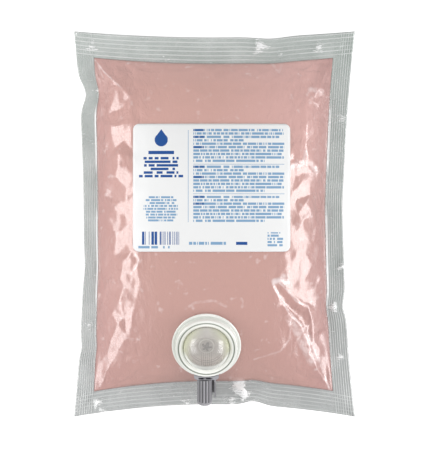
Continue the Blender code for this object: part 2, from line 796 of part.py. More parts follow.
def ellipse(bm, across_r, through_r, z, steps):
    turns = [2 * pi * i / steps for i in range(steps)]
    return [bm.verts.new((across_r * cos(a), through_r * sin(a), z)) for a in turns]


def make_cap(surface, outlet):
    """Closed cap with lengthwise ribs, pushed over the barrel, and a plug that enters its mouth."""
    plug_r = STUB_R
    inside = BARREL_END + GAP
    nose = CAP_END - CAP_NOSE
    bm = turned(
        [
            (0, inside - CAP_PLUG),
            (plug_r, inside - CAP_PLUG),
            (plug_r, inside),
            (CAP_BORE_R, inside),
            (CAP_BORE_R, CAP_START),
            (CAP_R - CAP_GROOVE, CAP_START),
            (CAP_R, CAP_START + CAP_GROOVE),
            (CAP_R, CAP_END - CAP_GROOVE_STOP),
            (CAP_R, nose),
            (mix(CAP_R, CAP_NOSE_R, 0.3), CAP_END - 0.35 * CAP_NOSE),
            (CAP_NOSE_R, CAP_END),
            (0, CAP_END),
        ],
        CAP_RIBS * 4,
    )
    for v in bm.verts:
        place = atan2(v.co.y, v.co.x) / (2 * pi) * CAP_RIBS * 4
        on_rib_side = CAP_START < v.co.z < nose - CAP_GROOVE / 4
        if on_rib_side and v.co.xy.length > CAP_R - CAP_GROOVE / 2 and round(place) % 4 < 2:
            v.co.xy *= (CAP_R - CAP_GROOVE) / CAP_R
    return piece("nozzle_cap", bm, surface, outlet)


clear_scene()

pump_axes = frame("pump_axes", Matrix.Translation(PORT) @ Matrix.Rotation(PUMP_TILT, 4, "X"))
outlet_axes = frame(
    "outlet_axes",
    Matrix.Translation((OUTLET_SHIFT, 0, OUTLET_HEIGHT)) @ Matrix.Rotation(pi / 2, 4, "X"),
    pump_axes,
)

white = material("white_plastic", (0.86, 0.88, 0.84), 0.35)
grey = material("grey_plastic", (0.38, 0.37, 0.39), 0.45)
silicone = material("silicone", (0.75, 0.72, 0.68), 0.4, 0.7)

make_film(material("clear_film", (0.80, 0.84, 0.82), 0.15, 0.35, 0.8))
make_soap(material("lotion_soap", (0.62, 0.37, 0.33), 0.5))
make_label(material("label_film", (0.90, 0.91, 0.92), 0.4))
make_fitment(white, pump_axes)
make_body(white, pump_axes, outlet_axes)
make_inlet_valve(silicone, pump_axes)
make_dome(material("dome_elastomer", (0.55, 0.53, 0.47), 0.25, 0.6, 0.5), pump_axes)
make_collar(white, pump_axes, outlet_axes)
make_nozzle(grey, pump_axes, outlet_axes)
make_outlet_valve(silicone, outlet_axes)
make_cap(material("cap_plastic", (0.36, 0.35, 0.37), 0.4), outlet_axes)
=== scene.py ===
# %% [markdown]
# # A litre of hand soap in a clear film pouch
#
# The real object is a refill for a wall dispenser. Two webs of clear film are welded together round four
# sides and filled with pink lotion soap, a dome pump is snapped into the front web, and a printed film label
# lies above it. The packed model gives every size and place. This lesson adds what a solid model leaves out:
# the creases that a full film takes, the gloss where the lotion wets it, the print, and the moulded finishes.

# %% The packed model
import random
from math import cos, pi, radians, sin, tan

import bmesh
import bpy
import numpy as np
from mathutils import Matrix, Vector, noise
from mathutils.bvhtree import BVHTree
from mathutils.geometry import delaunay_2d_cdt


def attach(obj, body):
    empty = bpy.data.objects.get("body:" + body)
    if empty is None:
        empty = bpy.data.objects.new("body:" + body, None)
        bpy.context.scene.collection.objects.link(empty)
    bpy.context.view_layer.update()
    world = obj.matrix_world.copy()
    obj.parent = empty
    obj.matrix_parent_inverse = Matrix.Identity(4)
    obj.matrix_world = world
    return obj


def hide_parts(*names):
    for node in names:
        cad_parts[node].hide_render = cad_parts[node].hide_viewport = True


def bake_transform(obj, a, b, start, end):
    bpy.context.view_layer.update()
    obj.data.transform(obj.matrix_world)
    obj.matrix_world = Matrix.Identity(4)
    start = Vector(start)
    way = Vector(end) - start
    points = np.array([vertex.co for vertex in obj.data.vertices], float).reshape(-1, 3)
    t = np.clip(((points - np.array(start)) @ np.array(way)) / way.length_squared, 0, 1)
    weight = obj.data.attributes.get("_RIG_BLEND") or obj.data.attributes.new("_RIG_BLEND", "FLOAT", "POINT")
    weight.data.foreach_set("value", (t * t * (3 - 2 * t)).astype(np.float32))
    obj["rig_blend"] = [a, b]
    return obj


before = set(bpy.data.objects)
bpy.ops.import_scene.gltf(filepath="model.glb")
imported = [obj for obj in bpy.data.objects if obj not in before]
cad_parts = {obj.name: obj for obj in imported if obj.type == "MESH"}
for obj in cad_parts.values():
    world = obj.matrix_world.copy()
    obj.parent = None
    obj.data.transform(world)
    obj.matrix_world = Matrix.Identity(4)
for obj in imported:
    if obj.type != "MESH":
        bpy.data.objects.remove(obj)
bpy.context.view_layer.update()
MM = 0.001

# %% [markdown]
# ## Camera
#
# The photograph looks straight down at the pack from far away, so its sides hardly converge. A long lens from
# five metres gives that and still fits any other view. The lens is worked out so that one pixel of the
# 431 by 450 picture covers 0.66 mm where the two webs meet.

# %% Camera straight above the pack
PIXEL = 0.66 * MM
CAMERA_HEIGHT = 5.0
SEAM_PLANE = 15 * MM
scene = bpy.context.scene
camera = bpy.data.objects.new("camera", bpy.data.cameras.new("camera"))
scene.collection.objects.link(camera)
scene.camera = camera
camera.location = (0.66 * MM, -0.66 * MM, CAMERA_HEIGHT)
camera.data.sensor_width = 36
camera.data.lens = 36 * (CAMERA_HEIGHT - SEAM_PLANE) / (450 * PIXEL)
camera.data.clip_end = 20
print("lens", round(camera.data.lens), "mm")

# %% [markdown]
# ## Light
#
# A clear film shows little colour of its own: what we see is what it mirrors. The photograph has one long
# soft lamp on each side, low enough that only the steep flanks of the pouch mirror it, so the middle stays
# clean. The right one is stronger and lower. A fainter and larger glow round each lamp softens the edges of
# its mirror image, and a grey world fills the shadows. A lamp's radiance sets how bright its image is, so the
# energy is worked out from it and the lamp's area.

# %% Two lamps on each side
LAMP_DISTANCE = 0.68
LAMPS = (
    # name, side, elevation in degrees, radiance, both ends along the pack and the height, in metres
    ("left_lamp", -1, 28, 2.5, -0.47, 0.26, 0.30),
    ("left_glow", -1, 29, 0.8, -0.53, 0.32, 0.40),
    ("right_lamp", 1, 22, 3.2, -0.47, 0.19, 0.29),
    ("right_glow", 1, 23, 0.8, -0.53, 0.23, 0.36),
)
for name, side, elevation, radiance, low, high, tall in LAMPS:
    light = bpy.data.lights.new(name, "AREA")
    light.shape = "RECTANGLE"
    light.size = high - low
    light.size_y = tall
    light.energy = radiance * pi * light.size * light.size_y
    lamp = bpy.data.objects.new(name, light)
    scene.collection.objects.link(lamp)
    out, up = cos(radians(elevation)), sin(radians(elevation))
    lamp.location = (side * out * LAMP_DISTANCE, (low + high) / 2, up * LAMP_DISTANCE)
    lamp.rotation_mode = "QUATERNION"
    lamp.rotation_quaternion = lamp.location.to_track_quat("Z", "Y")
    print(name, round(light.energy, 2), "W")

# %% Grey world
WORLD_STRENGTH = 0.69
world = bpy.data.worlds.new("studio")
scene.world = world
world.use_nodes = True
background = world.node_tree.nodes["Background"].inputs
background["Color"].default_value = (1, 1, 1, 1)
background["Strength"].default_value = WORLD_STRENGTH
scene.view_settings.view_transform = "Standard"
print("world strength", WORLD_STRENGTH)

# %% [markdown]
# ## A small language for shaders
#
# Procedural finishes are sums of many small patterns. Wrapping a socket in a class that knows +, -, * and /
# lets each pattern be written as a plain expression, which adds its Math nodes by itself. Every other node
# comes from one method of the finish.

# %% Sockets that take part in arithmetic
def put(target, term):
    """Feeds a socket from a value or from a wrapped link."""
    if isinstance(term, Value):
        target.id_data.links.new(term.socket, target)
    else:
        target.default_value = term


def operator(operation, reflected=False):
    """A method that adds one Math node. Reflected, it takes the terms the other way round: 1 - value."""
    def method(self, *others):
        terms = (*others, self) if reflected else (self, *others)
        return self.math(operation, *terms)
    return method


class Value:
    """The output of a node, for use in Python expressions."""

    def __init__(self, socket):
        self.socket = socket

    def math(self, operation, *terms):
        """A Math node in the same tree."""
        node = self.socket.id_data.nodes.new("ShaderNodeMath")
        node.operation = operation
        for target, term in zip(node.inputs, terms):
            put(target, term)
        return Value(node.outputs[0])

    __add__ = __radd__ = operator("ADD")
    __mul__ = __rmul__ = operator("MULTIPLY")
    __sub__, __rsub__ = operator("SUBTRACT"), operator("SUBTRACT", True)
    __truediv__, __rtruediv__ = operator("DIVIDE"), operator("DIVIDE", True)
    __gt__, __lt__ = operator("GREATER_THAN"), operator("LESS_THAN")
    most, least = operator("MAXIMUM"), operator("MINIMUM")
    abs, fract, floor, root = map(operator, ("ABSOLUTE", "FRACT", "FLOOR", "SQRT"))

    def __neg__(self):
        return self * -1.0

    def limited(self):
        """Kept between 0 and 1."""
        return self.most(0.0).least(1.0)


print("sockets now take + - * / > <")


# %% A finish and its nodes
class Finish:
    """A material and its nodes."""

    def __init__(self, name):
        self.material = bpy.data.materials.new(name)
        self.material.use_nodes = True
        self.tree = self.material.node_tree
        self.tree.nodes.clear()
        self.output = self.tree.nodes.new("ShaderNodeOutputMaterial")

    def node(self, kind, settings=None, output=0, **sockets):
        """Any node: its type, its settings, then its sockets, with _ for a space in a socket's name."""
        made = self.tree.nodes.new("ShaderNode" + kind)
        for key, value in (settings or {}).items():
            setattr(made, key, value)
        for key, term in sockets.items():
            named = int(key[1:]) if key[1:].isdigit() else key.replace("_", " ")
            put(made.inputs[named], term)
        return Value(made.outputs[output])

    def place(self):
        """Coordinates in the frame of the pack."""
        return self.node("TexCoord", output="Object")

    def parts(self, vector):
        """The three parts of a vector."""
        first = self.node("SeparateXYZ", Vector=vector)
        return [Value(output) for output in first.socket.node.outputs]

    def shares(self):
        """The shares across and along the pouch, from its UV map."""
        return self.parts(self.node("UVMap", {"uv_map": "weld"}))[:2]

    def noise(self, scale, detail=2.0, roughness=0.5, at=None, bend=0.0):
        """Noise whose scale is in blobs per metre. A bend turns the blobs into wisps."""
        return self.node("TexNoise", Vector=at or self.place(), Scale=scale, Detail=detail,
                         Roughness=roughness, Distortion=bend)

    def stretched(self, x, y):
        """Coordinates scaled in the plan, for noise that runs one way."""
        return self.node("Mapping", Vector=self.place(), Scale=(x, y, 1.0))

    def ring(self, value, centre, half, soft):
        """1 within half of the centre value, fading over soft."""
        return (1.0 - ((value - centre).abs() - half) / soft).limited()

    def between(self, share, low, high):
        """A colour between two, each a tuple or a link."""
        low, high = ((*term, 1.0) if isinstance(term, tuple) else term for term in (low, high))
        return self.node("Mix", {"data_type": "RGBA"}, output=2, _0=share, _6=low, _7=high)

    def strokes(self, lines):
        """Soft lines seen from above: each has points in mm, a strength and half its width in mm."""
        x, y = (part * 1000.0 for part in self.parts(self.place())[:2])
        total = x * 0.0
        for points, strength, half in lines:
            for (ax, ay), (bx, by) in zip(points, points[1:]):
                length = ((bx - ax) ** 2 + (by - ay) ** 2) ** 0.5
                dx, dy = (bx - ax) / length, (by - ay) / length
                from_x, from_y = x - ax, y - ay
                way = (from_x * dx + from_y * dy).most(0.0).least(length)
                off_x, off_y = from_x - way * dx, from_y - way * dy
                total = total.most((1.0 - (off_x * off_x + off_y * off_y) / half**2) * strength)
        return total.limited()

    def bump(self, height, distance):
        """Small relief, with its depth in mm."""
        return self.node("Bump", Height=height, Distance=distance * MM)

    def shown(self, shader):
        put(self.output.inputs["Surface"], shader)
        return self.material

    def plastic(self, cover=None, **sockets):
        """The material as plastic. With a cover, only that share is plastic and the rest is clear."""
        shader = self.node("BsdfPrincipled", **sockets)
        if cover is not None:
            clear = self.node("BsdfTransparent")
            shader = self.node("MixShader", _0=cover.limited(), _1=clear, _2=shader)
        return self.shown(shader)


print("a finish can make:", [name for name in vars(Finish) if not name.startswith("__")])

# %% [markdown]
# ## Floor
#
# The photograph was cut out on pure white. The floor is a plain pale sheet. A Light Path node tells who looks
# at it: the camera sees it nearly white, also through the clear film, and it keeps a faint soft shadow of the
# pack. Gloss mirrors it darker, as a studio's floor would be, so that the flanks don't light up from below.

# %% White floor that keeps a faint shadow
def floor_finish():
    finish = Finish("pale_floor")

    def ray(kind):
        return finish.node("LightPath", output=f"Is {kind} Ray")

    paper = finish.node("BsdfDiffuse", Color=(0.5, 0.5, 0.5, 1.0))
    glow = finish.node("Emission", Color=(1.0, 1.0, 1.0, 1.0), Strength=0.78)
    lit = finish.node("AddShader", _0=paper, _1=glow)
    plain = finish.node("BsdfDiffuse", Color=(0.8, 0.8, 0.8, 1.0))
    mirrored = finish.node("Emission", Color=(1.0, 1.0, 1.0, 1.0), Strength=0.58)
    seen = finish.node("MixShader", _0=ray("Camera").most(ray("Transmission")), _1=plain, _2=lit)
    return finish.shown(finish.node("MixShader", _0=ray("Glossy"), _1=seen, _2=mirrored))


def new_piece(name, bm, finish, body=None):
    """A bmesh as an object at the origin, with its finish, riding on a body of the packed model."""
    mesh = bpy.data.meshes.new(name)
    bm.to_mesh(mesh)
    bm.free()
    mesh.shade_smooth()
    mesh.materials.append(finish)
    made = bpy.data.objects.new(name, mesh)
    scene.collection.objects.link(made)
    if body:
        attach(made, body)
    print(name, len(mesh.vertices), "vertices")
    return made


bm = bmesh.new()
bmesh.ops.create_grid(bm, x_segments=1, y_segments=1, size=4.0)
floor = new_piece("floor", bm, floor_finish())

# %% [markdown]
# ## The plan of the pouch
#
# Each side has an outer edge and, inside it, the line where the weld ends. Both are bowed, because the full
# pouch pulls its sides in, and each has a few puckers. Two shares place any point: u across and v along run
# from -1 to 1 between the weld lines, and on to -2 and 2 at the outer edges. These are the packed model's
# sizes. The functions take whole arrays of points, so that numpy places a fine mesh at once.

# %% Sizes of the pouch
HALF_WIDTH = 92.75 * MM
HALF_LENGTH = 127.4 * MM
FILM = 0.15 * MM
CROWN = 48.5 * MM
SEAMS = {"side": 15.5 * MM, "top": 14.5 * MM, "bottom": 13.5 * MM, "corner": 6.0 * MM}
BELLY = 26.0 * MM
PORT = Vector((-5.3, -79.3, 34.9528)) * MM
TILT = radians(24)
HOLE_R = 13.3 * MM
WELD_R = 19.0 * MM
PORT_FREE_R = 24.0 * MM
# reach, sag, width of the weld and its sag, droop, and puckers as (place, depth, width), in mm
EDGES = {
    "left": (92.75, 6.4, 12.2, 3.4, 0.10, ((86, 4.2, 9), (-28, 1.0, 12), (-81, 1.2, 6))),
    "right": (92.75, 7.6, 12.8, 6.4, 0.10, ((12, 0.8, 20), (-54, 1.8, 7))),
    "top": (127.4, 4.2, 16.0, 5.4, 0.16, ((37, 1.4, 12),)),
    "bottom": (127.4, 8.4, 14.2, 9.4, 0.20, ((26, 2.6, 8),)),
}
print("pouch", 2 * HALF_WIDTH / MM, "by", 2 * HALF_LENGTH / MM, "mm, crown", CROWN / MM, "mm")


# %% Outer edges and weld lines
def edge_line(edge, along, half, seal):
    """How far from the middle an outer edge, or its weld line, lies at places along it."""
    reach, sag, width, seal_sag, _, puckers = EDGES[edge]
    bow = 1 - np.minimum(1.0, (along / half) ** 2)
    pull = sum(depth * np.exp(-(((along / MM - at) / wide) ** 2)) for at, depth, wide in puckers)
    if seal:
        return (reach - width - seal_sag * bow - 0.5 * pull) * MM
    return (reach - sag * bow - pull) * MM


def across(low, high, at, along, half):
    """Places between two opposite edges, from shares of -2 to 2."""
    near, far = edge_line(low, along, half, True), edge_line(high, along, half, True)
    near_rim, far_rim = edge_line(low, along, half, False), edge_line(high, along, half, False)
    inside = -near + (far + near) * (at + 1) / 2
    before = -near - (near_rim - near) * (-at - 1)
    after = far + (far_rim - far) * (at - 1)
    return np.where(at < -1, before, np.where(at > 1, after, inside))


SETTLING_ROUNDS = 12


def plan_point(u, v):
    """Place of two shares. Each edge's bow depends on the other share, so a few rounds settle both."""
    x, y = np.zeros_like(u), np.zeros_like(v)
    for _ in range(SETTLING_ROUNDS):
        x = across("left", "right", u, y, HALF_LENGTH)
        y = across("bottom", "top", v, x, HALF_WIDTH)
    return x, y


corner_x, corner_y = plan_point(np.array([-1.0, 1.0]), np.array([-1.0, 1.0]))
print("weld lines meet at", np.round(corner_x / MM, 1), np.round(corner_y / MM, 1), "mm")


# %% Heights of the pouch
SIDE_POWERS, END_POWERS = (2.5, 0.70), (2.7, 0.68)  # how flat the middle is, and how steep the welds are


def smooth(value):
    """A soft step from 0 to 1."""
    value = np.clip(value, 0.0, 1.0)
    return value * value * (3 - 2 * value)


def mix(a, b, share):
    """Between two values."""
    return a + (b - a) * share


def outermost(u, v):
    """The greater share, whichever way it points."""
    return np.maximum(np.abs(u), np.abs(v))


def bulge(u, v):
    """Share of the full thickness: 0 on the weld lines, 1 in the middle."""
    side, end = (
        np.maximum(0.0, 1 - np.abs(share) ** inner) ** outer
        for share, (inner, outer) in ((u, SIDE_POWERS), (v, END_POWERS))
    )
    return side * end


def by_side(column, u, v):
    """One number of the edge list for the nearest side, and the same for the nearest end."""
    side = np.where(u > 0, EDGES["right"][column], EDGES["left"][column])
    return side, np.where(v > 0, EDGES["top"][column], EDGES["bottom"][column])


def seam_height(u, v):
    """Height of the plane where the webs meet. The welded margins droop outwards."""
    inner_u, inner_v = np.clip(u, -1, 1), np.clip(v, -1, 1)
    end = np.where(v > 0, SEAMS["top"], SEAMS["bottom"])
    height = mix(SEAMS["side"], end, inner_v**4) - SEAMS["corner"] * np.abs(inner_u * inner_v) ** 3
    (side_width, end_width), (side_droop, end_droop) = by_side(2, u, v), by_side(4, u, v)
    height = height - side_droop * side_width * MM * (np.abs(u) - np.abs(inner_u))
    return height - end_droop * end_width * MM * (np.abs(v) - np.abs(inner_v))


def port_radius(x, y):
    """Distance from the pump's axis, measured in the tilted plane of the port."""
    return np.hypot(x - PORT.x, (y - PORT.y) / cos(TILT))


def port_plane(y):
    """Height of the flat that the pump is welded to."""
    return PORT.z + (y - PORT.y) * tan(TILT)


print("seam at the middle of the left side:", round(float(seam_height(-1.0, 0.0)) / MM, 1), "mm")

# %% [markdown]
# ## How a full film creases
#
# A pouch starts as two flat sheets. Filling it bends them both ways at once, which flat film can't do, so it
# breaks into flat facets with creases between them, most of all on the flanks. A cloth simulation hardly
# moves film this stiff and thin, so the creases are laid one by one. Corners of the facets are set where the
# pack shows them, the plain stretches between get scattered ones, and a Delaunay triangulation joins them.
# Every point of the film then drops onto its facet. A flank facet shines where it leans 27 to 40 degrees,
# since it then mirrors a lamp: a lift of a millimetre or two turns a highlight on or off.

# %% Corners of the facets
# x, y and lift over the smooth film, in mm
MAIN_CREASES = [
    # pointed crease on the lower right flank
    (38.6, -39.6, 1), (47.9, -44.9, 0.9), (53.8, -51.5, 1.2), (61.7, -54.1, 1.2), (69.6, -56.8, 1),
    (43.2, -47.5, 0.8), (49.2, -58.1, 1), (54.5, -63.4, 1.1), (59.1, -68, 1.2), (62.4, -85.8, 1.4),
    (68.3, -96.4, 1.2), (76.2, -110.2, 0.4), (46.5, -52.1, -0.9), (51.8, -56.8, -1.2), (57.8, -59.4, -1.2),
    (64.4, -64.7, 1.5), (65, -75.2, 1.6), (69.6, -83.2, 1.2), (53.8, -76.6, -0.6), (56.4, -87.1, -0.5),
    (55.5, -71, 0.7), (60.5, -72.5, 0.1),
    # broad bright facet above it
    (42.6, -23.8, 0.8), (42.6, -31, 1.7), (42.2, -37, 2.3), (49.8, -26.4, 0.2), (50.5, -35.6, -0.1),
    (51.2, -42.2, -0.1), (57.1, -29, -0.2), (59.7, -37, -0.4), (60.4, -45.5, -0.4), (49.8, -17.2, 0.2),
    (59.7, -18.5, 0.2), (67.7, -40.9, -0.8),
    # star on the right flank
    (51.2, 38.9, 0.3), (58.4, 47.5, 1.2), (61.7, 43.6, 1.6), (68.3, 38.3, 0.6), (69.6, 31, 1.3),
    (59.7, 34.3, -0.6), (64.4, 42.2, 1.2), (53.8, 31, -0.8),
    # ridge above the star
    (60.4, 79.2, 2), (61.1, 66, 2.5), (60.4, 52.1, 2.2), (55.1, 75.2, 1.1), (55.1, 63.4, 1.2),
    (54.5, 52.8, 1), (49.8, 79.2, 0), (49.2, 65.3, 0), (49.8, 51.5, 0), (68.3, 75.2, 0.6), (69, 63.4, 0.7),
    (67.7, 51.5, 0.6),
    # triangle and ellipse in the upper right corner
    (63, 91.1, 0.6), (70.3, 91.1, 1.3), (73.6, 85.1, 0.6), (63.7, 81.8, 0.9), (69, 79.9, 1),
    # strips below the star
    (57.1, 26.4, 0.9), (63.7, 19.8, 0.6), (53.8, 15.8, -0.4), (59.7, 13.2, 1.8), (64.4, 7.9, 1.4),
    (55.1, 6.6, 0), (51.2, 20.5, 0.5), (58.4, 2, 1.1),
    # left flank, from the top corner down
    (-76.9, 105.6, 1.2), (-72.9, 100.3, 2.2), (-67, 94.4, 2.6), (-61.1, 89.8, 2.2), (-75.6, 92.4, 0.2),
    (-71.6, 85.8, 0.2), (-63.7, 101.6, 0.6), (-55.8, 95, 0.3), (-65, 85.1, 1.7), (-55.1, 84.5, 1.3),
    (-61.7, 75.9, -0.7), (-55.1, 75.9, 0.7), (-69, 64, 1.3), (-61.1, 64.7, 1.1), (-53.8, 66, 0.9),
    (-65.7, 49.5, -0.3), (-55.8, 49.5, -0.4), (-63.7, 46.2, 2.8), (-63.7, 38.3, 3), (-57.1, 45.5, 1.4),
    (-57.1, 37.6, 1.4), (-70.3, 42.2, 1.6), (-50.5, 42.2, 0.2), (-65.7, 31.7, 0.8), (-55.8, 33, 0),
    (-66.3, 10.6, 0.9), (-58.4, 15.8, -0.2), (-54.5, 1.3, 0.3), (-65, -7.9, 0.8), (-55.1, -12.5, 0.2),
    (-53.8, -17.8, 1.2), (-49.8, -23.1, 2.1), (-51.2, -27.7, 2), (-55.1, -33, 1.2), (-67, -20.5, -0.9),
    (-67.7, -29, -0.9), (-60.4, -25.1, 2.2), (-43.9, -23.8, 0.2), (-48.5, -39.6, 0.3), (-59.7, -40.9, 0.6),
    (-62, -36, 1.8), (-62.5, -50, 2), (-63.5, -66, 1.8), (-51.8, -50.8, 0.8), (-54.5, -62, 0.9),
    (-59.7, -62, 0.3), (-57.8, -73.9, 0.9), (-72.9, -67.3, 0.4), (-63.7, -83.2, 0.8), (-69, -77.9, 1.2),
    (-71, -96.4, 0.6),
]
print(len(MAIN_CREASES), "placed corners")


# %% The smooth webs
def smooth_front(u, v, x, y):
    """Height of the front web before it creases: a full cushion with a flat for the pump."""
    natural = seam_height(u, v) + (CROWN - SEAMS["side"]) * bulge(u, v)
    near_port = smooth((port_radius(x, y) - WELD_R) / (PORT_FREE_R - WELD_R))
    return mix(port_plane(y), natural, near_port)


def smooth_back(u, v):
    """Height of the back web, which rests on the floor."""
    return np.maximum(0.0, seam_height(u, v) - BELLY * bulge(u, v))


print("crown", round(float(smooth_front(0.0, 0.0, 0.0, 0.0)) / MM, 1), "mm over the floor")

# %% Corners of the facets, placed and scattered
WELD_CORNERS = 17
SCATTER_ROWS, SCATTER_COLUMNS = 25, 20
SCATTER_LIFT = (-0.5, 0.6)
CLEAR_OF_PLACED = 6.5 * MM


def facet_corners():
    """Corners on the weld lines with their heights, then placed and scattered ones with their lifts."""
    draw = random.Random(7)
    even = np.linspace(-1, 1, WELD_CORNERS)
    one = np.ones_like(even)
    u = np.concatenate([even, even, one, -one])
    v = np.concatenate([one, -one, even, even])
    x, y = plan_point(u, v)
    corners = list(zip(x, y, seam_height(u, v)))
    main = np.array(MAIN_CREASES) * MM
    lifted = []
    for row in np.linspace(-0.96, 0.96, SCATTER_ROWS):
        for column in np.linspace(-0.93, 0.93, SCATTER_COLUMNS):
            u = column + draw.uniform(-0.04, 0.04)
            v = row + draw.uniform(-0.03, 0.03)
            lift = draw.uniform(*SCATTER_LIFT) * MM
            x, y = plan_point(np.array([u]), np.array([v]))
            if np.min(np.hypot(main[:, 0] - x, main[:, 1] - y)) > CLEAR_OF_PLACED:
                lifted.append((x[0], y[0], lift))
    lifted += [tuple(row) for row in main]
    return corners, lifted


weld_corners, lifted_corners = facet_corners()
print(len(weld_corners), "corners on the weld lines,", len(lifted_corners), "inside them")


# %% Facets that the film drops onto
def inner_shares(x, y):
    """Shares of points of the plan that lie inside the weld lines."""
    left, right = (edge_line(edge, y, HALF_LENGTH, True) for edge in ("left", "right"))
    bottom, top = (edge_line(edge, x, HALF_WIDTH, True) for edge in ("bottom", "top"))
    return (x + left) / (left + right) * 2 - 1, (y + bottom) / (bottom + top) * 2 - 1


def facet_tree():
    """The facets as a search tree, so that a point can be dropped onto them."""
    x, y, lift = (np.array(column) for column in zip(*lifted_corners))
    u, v = inner_shares(x, y)
    corners = weld_corners + list(zip(x, y, smooth_front(u, v, x, y) + lift))
    flat = [Vector((x, y)) for x, y, _ in corners]
    points, _, faces, origins, _, _ = delaunay_2d_cdt(flat, [], [], 0, 1e-7)
    placed = [(p.x, p.y, corners[origin[0]][2]) for p, origin in zip(points, origins)]
    print(len(placed), "facet corners,", len(faces), "facets")
    return BVHTree.FromPolygons(placed, faces)


facets = facet_tree()

# %% How much the film takes of them
MOST_FOLD = 4.5 * MM
MIDDLE_FOLD, END_FOLD = 0.15, 0.7  # where the sides' flanks take 1
SIDE_FLANK, END_FLANK = (0.5, 0.2), (0.72, 0.16)  # share where the flank starts, and how far it grows
WELD_FADES = (0.10, 0.06)
PORT_FADE = 14 * MM
FEATHERS = ((0.35, (5.0, 13.0), 0), (0.16, (3.0, 4.5), 9))  # height, size of the blobs in mm, and layer


def fold_share(u, v, x, y):
    """How much of the facets each place takes: all on the flanks, little in the middle and at the welds."""
    u, v = np.abs(u), np.abs(v)
    sides = smooth((u - SIDE_FLANK[0]) / SIDE_FLANK[1])
    ends = END_FOLD * smooth((v - END_FLANK[0]) / END_FLANK[1])
    flank = np.maximum(np.maximum(sides, ends), MIDDLE_FOLD)
    away = smooth((1 - u) / WELD_FADES[0]) * smooth((1 - v) / WELD_FADES[1])
    return flank * away * smooth((port_radius(x, y) - PORT_FREE_R) / PORT_FADE)


def folds(u, v, x, y, heights):
    """Height that the facets, fine feathers and sharp creases add to the front web."""
    added = np.zeros_like(heights)
    feathers = np.zeros_like(heights)
    for index, (px, py) in enumerate(zip(x, y)):
        if abs(u[index]) < 1 and abs(v[index]) < 1:
            hit = facets.ray_cast(Vector((px, py, 1.0)), Vector((0, 0, -1)))[0]
            if hit:
                added[index] = hit.z - heights[index]
        for height, (wide, long), layer in FEATHERS:
            feathers[index] += height * noise.noise(Vector((px / wide, py / long, layer)) / MM)
    added = np.clip(added, -MOST_FOLD, MOST_FOLD) + feathers * MM
    weld = smooth((1 - outermost(u, v)) / 0.05)
    return added * fold_share(u, v, x, y) + crease_steps(x, y) * weld


print("a fold lifts the film by", MOST_FOLD / MM, "mm at most")

# %% [markdown]
# ## Sharp creases
#
# Where facets meet hard the film folds over itself in a line. A facet edge alone is too soft for that, and a
# finer grid only there would be hard to build, so each line is a step in height: down at once, up slowly.

# %% Steps along lines
# points in mm, side of the drop (1 is right when walking along), its depth and width, and the rise after it
CREASES = [
    ([(39.4, -37.4), (38.6, -39.8), (43.2, -48.2), (49.2, -58.1), (54.5, -63.4), (59.1, -68),
      (62.4, -76.6), (67, -89.8), (76.2, -110.2)], -1, 1.25, 2.4, 9),
    ([(39, -39), (42.6, -35.4), (47.2, -40.3), (53.8, -47.5), (58.4, -51.5), (64.4, -54.1),
      (69.6, -56.8)], -1, 0.7, 1.7, 7),
    ([(49.8, -60.7), (50.2, -70), (48.6, -78), (43.2, -83.8), (34, -88), (26.1, -89.1)],
     -1, 0.22, 1.4, 6),
    ([(-53.8, -17.8), (-49.8, -22.4), (-49.6, -25.1), (-55.1, -32.7)], 1, 0.55, 1.6, 5),
    ([(-80.2, 109.9), (-72.9, 100.3), (-67, 94), (-61.3, 89.8)], 1, 0.5, 1.4, 6),
    ([(-80.2, 108), (-74.6, 96)], 1, 0.4, 1.2, 4),
    ([(68.3, 65), (67, 58), (61, 53.5)], -1, 0.6, 1.6, 5),
    ([(49.5, 42), (57, 39.5), (63, 38), (69.5, 31.5)], -1, 0.7, 2.2, 6),
    ([(41, 105), (42.6, 97)], -1, 0.35, 1.2, 4),
    ([(47, 105.5), (42.9, 97)], 1, 0.35, 1.2, 4),
]
FADE_IN, FADE_OUT = 0.08, 0.25


def near_line(x, y, line):
    """Distance in mm from each point to a line of points, its sign, and the share of the way along it."""
    best, sign, along = np.full_like(x, 1e9), np.ones_like(x), np.zeros_like(x)
    steps = list(zip(line, line[1:]))
    lengths = [np.hypot(bx - ax, by - ay) for (ax, ay), (bx, by) in steps]
    start = 0.0
    for ((ax, ay), (bx, by)), length in zip(steps, lengths):
        dx, dy = (bx - ax) / length, (by - ay) / length
        way = np.clip((x - ax) * dx + (y - ay) * dy, 0, length)
        off_x, off_y = x - ax - way * dx, y - ay - way * dy
        distance = np.hypot(off_x, off_y)
        closer = distance < best
        best = np.where(closer, distance, best)
        sign = np.where(closer, np.sign(off_x * dy - off_y * dx), sign)
        along = np.where(closer, (start + way) / sum(lengths), along)
        start += length
    return best, sign, along


def crease_steps(x, y):
    """Depth of all sharp creases at each point: a quick step down, then a slow rise."""
    total = np.zeros_like(x)
    for line, side, depth, width, rise in CREASES:
        distance, sign, along = near_line(x / MM, y / MM, line)
        place = distance * sign * side
        step = smooth(place / width + 0.5) * (1 - smooth((place - width / 2) / rise))
        ends = smooth(along / FADE_IN) * smooth((1 - along) / FADE_OUT)
        total -= depth * MM * step * ends * (distance < width + rise)
    return total


print(len(CREASES), "sharp creases, the deepest", max(crease[2] for crease in CREASES), "mm")

# %% [markdown]
# ## Welded margins
#
# The welds shrink and pull, so the margins ripple and stand up in small crumpled tents. Noise would spread
# these evenly. Slow sines make the ripples, and the tents stand where the photograph shows them.

